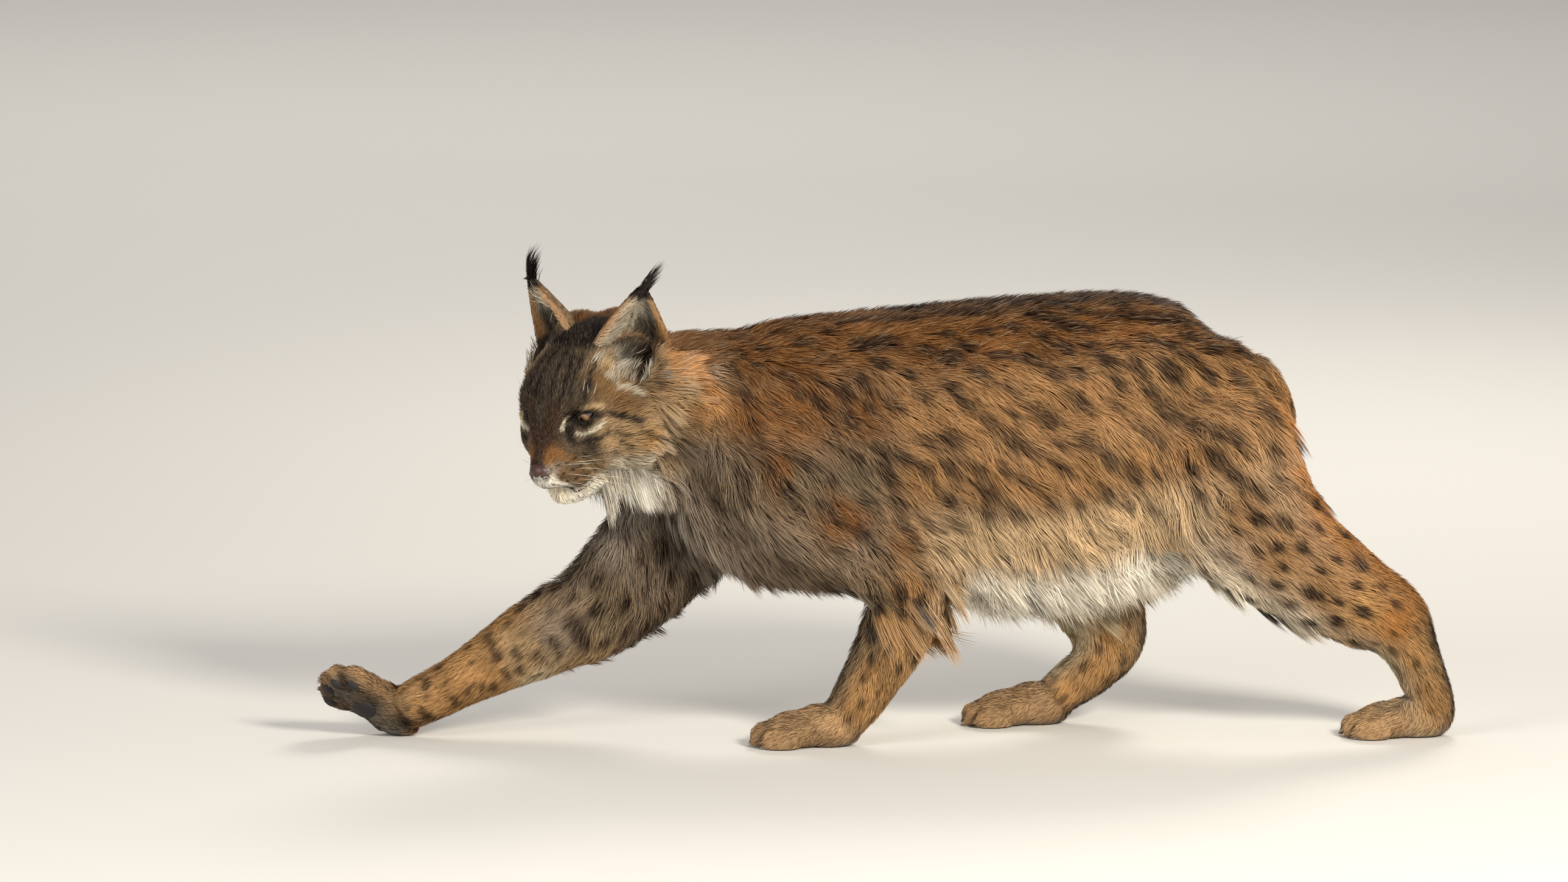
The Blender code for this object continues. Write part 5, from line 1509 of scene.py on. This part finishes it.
def eyeMaterial():
    # A wet eye: the eye sees one sharp highlight over a fibrous amber ring and a dark rim
    material, tree, shader = newMaterial("eye_wet_amber", {"Roughness": 0.06, "Coat Weight": 1.0, "Coat Roughness": 0.02,
                                                           "Specular IOR Level": 0.6})
    gaze = addNode(tree, "ShaderNodeAttribute", (-1300, 0), {"attribute_name": "gaze"})
    split = addNode(tree, "ShaderNodeSeparateXYZ", (-1100, 0), links={"Vector": gaze.outputs["Vector"]})
    flat = addNode(tree, "ShaderNodeCombineXYZ", (-900, 100), links={"X": split.outputs["Y"], "Y": split.outputs["Z"]})
    radius = addNode(tree, "ShaderNodeVectorMath", (-700, 200), {"operation": "LENGTH"}, links={"Vector": flat.outputs[0]})
    around = addNode(tree, "ShaderNodeVectorMath", (-700, 0), {"operation": "NORMALIZE"}, links={"Vector": flat.outputs[0]})
    fibres = addNode(tree, "ShaderNodeTexNoise", (-500, 0), sockets={"Scale": 9.0, "Detail": 4.0, "Roughness": 0.6},
                     links={"Vector": around.outputs[0]})
    pushed = addNode(tree, "ShaderNodeMath", (-300, 100), {"operation": "MULTIPLY_ADD"}, {1: 0.12, 2: -0.06},
                     {0: fibres.outputs["Fac"]})
    place = addNode(tree, "ShaderNodeMath", (-150, 200), {"operation": "ADD"},
                    links={0: radius.outputs["Value"], 1: pushed.outputs[0]})
    ring = addNode(tree, "ShaderNodeValToRGB", (0, 200), links={"Fac": place.outputs[0]})
    stops = [(0.0, "060403"), (0.21, "060403"), (0.26, "5e3714"), (0.40, "8c6230"), (0.55, "6a4520"),
             (0.63, "120b07"), (0.70, "1a120d"), (1.0, "241a14")]
    ramp = ring.color_ramp
    while len(ramp.elements) < len(stops):
        ramp.elements.new(0.5)
    for element, (at, colour) in zip(ramp.elements, stops):
        element.position = at
        element.color = (*toLinear(colour), 1)
    tree.links.new(ring.outputs["Color"], shader.inputs["Base Color"])
    return material


def makeEye(side, material):
    bm = bmesh.new()
    bmesh.ops.create_uvsphere(bm, u_segments=irisSizes["segments"], v_segments=irisSizes["rings"], radius=1)
    for vert in bm.verts:
        x, y, z = vert.co.z, vert.co.x, vert.co.y
        rise = 1 + irisSizes["corneaRise"] * max(0, 1 - (math.hypot(y, z) / 0.62) ** 2) * (x > 0)
        vert.co = Vector((x, y, z)) * rise
    eye = meshObject("eye_left" if side > 0 else "eye_right", bm)
    local = pointsOf(eye.data)
    gaze = eye.data.attributes.new("gaze", "FLOAT_VECTOR", "POINT")
    gaze.data.foreach_set("vector", local.ravel())
    gazeTurn = Matrix.Rotation(math.radians(irisSizes["turnIn"]) * -side, 4, "Z")
    gazeDrop = Matrix.Rotation(math.radians(irisSizes["drop"]), 4, "Y")
    eye.data.transform(eyeMatrix(side) @ gazeTurn @ gazeDrop @ Matrix.Scale(eyeSizes["radius"] * mm, 4))
    for face in eye.data.polygons:
        face.use_smooth = True
    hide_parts("eye_left" if side > 0 else "eye_right")
    return finishPiece(eye, material)


wetEye = eyeMaterial()
eyeNames = {1: "eye_left", -1: "eye_right"}

# Lid rims: bare black skin, the upper one heavy
lidSizes = {"upper": 1.7, "lower": 1.4, "reach": 16.6}


def darkSkinMaterial(name, colour, roughness, scale, depth):
    material, tree, shader = newMaterial(name, {"Base Color": (*toLinear(colour), 1), "Roughness": roughness,
                                                "Specular IOR Level": 0.45})
    place = addNode(tree, "ShaderNodeTexCoord", (-700, 0))
    grain = addNode(tree, "ShaderNodeTexVoronoi", (-500, 0), {"feature": "DISTANCE_TO_EDGE"}, {"Scale": scale},
                    {"Vector": place.outputs["Object"]})
    bump = addNode(tree, "ShaderNodeBump", (-250, 0), sockets={"Strength": 0.5, "Distance": depth},
                   links={"Height": grain.outputs["Distance"]})
    tree.links.new(bump.outputs["Normal"], shader.inputs["Normal"])
    return material


bareSkin = darkSkinMaterial("skin_bare_black", "17110f", 0.5, 900, 0.0002)
# Nose leather: damp, finely cobbled, reddish brown
noseLeather = darkSkinMaterial("nose_leather_damp", "432a23", 0.36, 1100, 0.0003)
# Pads: rough black leather
padLeather = darkSkinMaterial("pad_leather", "1d1917", 0.72, 800, 0.0004)


def smoothFaces(obj):
    for face in obj.data.polygons:
        face.use_smooth = True
    return obj


def makeLids():
    bm = bmesh.new()
    for side in bothSides:
        place = eyeMatrix(side)
        half = eyeShape["half"]
        for name, sign in (("upper", 1), ("lower", -1)):
            rows = []
            for k in range(15):
                y = half * (2 * k / 14 - 1) * 1.04
                z = sign * eyeShape[name] * max(0, 1 - (y / half) ** 2)
                point = Vector((math.sqrt(max(20, lidSizes["reach"] ** 2 - y * y - z * z)), y, z)) * mm
                thick = lidSizes[name] * (0.45 + 0.55 * (1 - (y / half / 1.04) ** 2)) * mm
                rows.append((*(place @ point), thick, thick))
            loft(bm, rows, across=place.to_3x3() @ Vector((1, 0, 0.2)), step=0.0015, sides=10)
    lids = remeshed(meshObject("lid_rims", bm), 0.0005, 2)
    lids = decimated(lids, 0.5)
    return finishPiece(smoothFaces(lids), bareSkin)


def makeNose():
    bm = bmesh.new()
    form(bm, (56.5, 0, -45), (9, 12.5, 8), 25)
    form(bm, (55, 8, -49), (8.5, 7.4, 6.6), 15, bothSides)
    form(bm, (56, 0, -57), (6.5, 3.8, 8), 10)
    nose = remeshed(meshObject("nose_leather", bm), 0.0006, 5)
    bm = bmesh.new()
    form(bm, (63.5, 5.8, -50), (5.6, 3.2, 2.9), 0, bothSides)
    form(bm, (60, 11, -50.6), (6.5, 5, 1.8), 0, bothSides)
    form(bm, (65.4, 0, -52), (3, 0.5, 9))
    cutBy(nose, remeshed(meshObject("nostrils", bm), 0.0004, 2))
    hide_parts("nose")
    # dark bodies inside the nostrils: partly the nostrils' dark inner skin, partly painted shade in their depth
    bm = bmesh.new()
    form(bm, (59.5, 6.5, -50), (3.2, 3.2, 3), 0, bothSides)
    finishPiece(smoothFaces(meshObject("nostril_depths", bm)), bareSkin)
    return finishPiece(smoothFaces(nose), noseLeather)


def makeLips():
    bm = bmesh.new()
    loft(bm, [(*p, 0.0013, 0.0013) for p in lipPoints], across=(0.3, 0.2, 1), step=0.02, sides=10)
    return finishPiece(smoothFaces(meshObject("lips", bm)), bareSkin)


def makePads():
    bm = bmesh.new()
    foot = feet["foreRight"]
    place, half = footMatrix(foot), foot["half"]
    for k, ahead in zip((-1.5, -0.5, 0.5, 1.5), (0.044, 0.057, 0.057, 0.044)):
        ellipsoid(bm, (ahead, k * half * 0.52, 0.0022), (0.0095, half * 0.155, 0.0052), place, detail=3)
    ellipsoid(bm, (0.012, 0, 0.0022), (0.015, half * 0.45, 0.0055), place, detail=3)
    return finishPiece(smoothFaces(meshObject("toe_pads", bm)), padLeather)


for side in bothSides:
    makeEye(side, wetEye)
makeLids()
makeNose()
makeLips()
makePads()
print("eyes, lids, nose, lips and pads made")

# The skin stands for every flesh node
boneless = ["nose", "eye_left", "eye_right"]
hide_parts(*[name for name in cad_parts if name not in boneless])
finishPiece(skin)

# Plain pale floor
floorSizes = {"half": 30.0}  # level all round, so that no view of the model is blocked


def makeFloor():
    bm = bmesh.new()
    bmesh.ops.create_grid(bm, x_segments=1, y_segments=1, size=floorSizes["half"])
    floor = meshObject("floor", bm)
    material, _, _ = newMaterial("floor_matt_paper", {"Base Color": (*toLinear("d9d5cd"), 1), "Roughness": 0.9})
    floor.data.materials.append(material)


def addLight(name, place, size, power, colour, target=(0.1, 0, 0.3)):
    data = bpy.data.lights.new(name, "AREA")
    data.shape = "DISK"
    data.size = size
    data.energy = power
    data.color = colour
    light = bpy.data.objects.new(name, data)
    bpy.context.scene.collection.objects.link(light)
    light.location = place
    light.rotation_euler = (Vector(target) - Vector(place)).to_track_quat("-Z", "Y").to_euler()


makeFloor()
addLight("key", (1.7, -3.6, 2.4), 1.1, 240, (1.0, 0.94, 0.85))
addLight("fill", (-3.3, -2.6, 1.7), 2.4, 90, (0.98, 0.98, 1.0))
addLight("rim", (1.2, 2.8, 2.8), 1.4, 70, (1.0, 0.95, 0.88))
addLight("far floor", (0, 6.5, 4.0), 5.0, 130, (1.0, 0.97, 0.93), (0, 8, 0))
world = bpy.data.worlds.new("studio")
bpy.context.scene.world = world
world.use_nodes = True
world.node_tree.nodes["Background"].inputs["Color"].default_value = (0.85, 0.88, 0.93, 1)
world.node_tree.nodes["Background"].inputs["Strength"].default_value = 0.36
bpy.context.scene.view_settings.view_transform = "Standard"

print("scene finished")
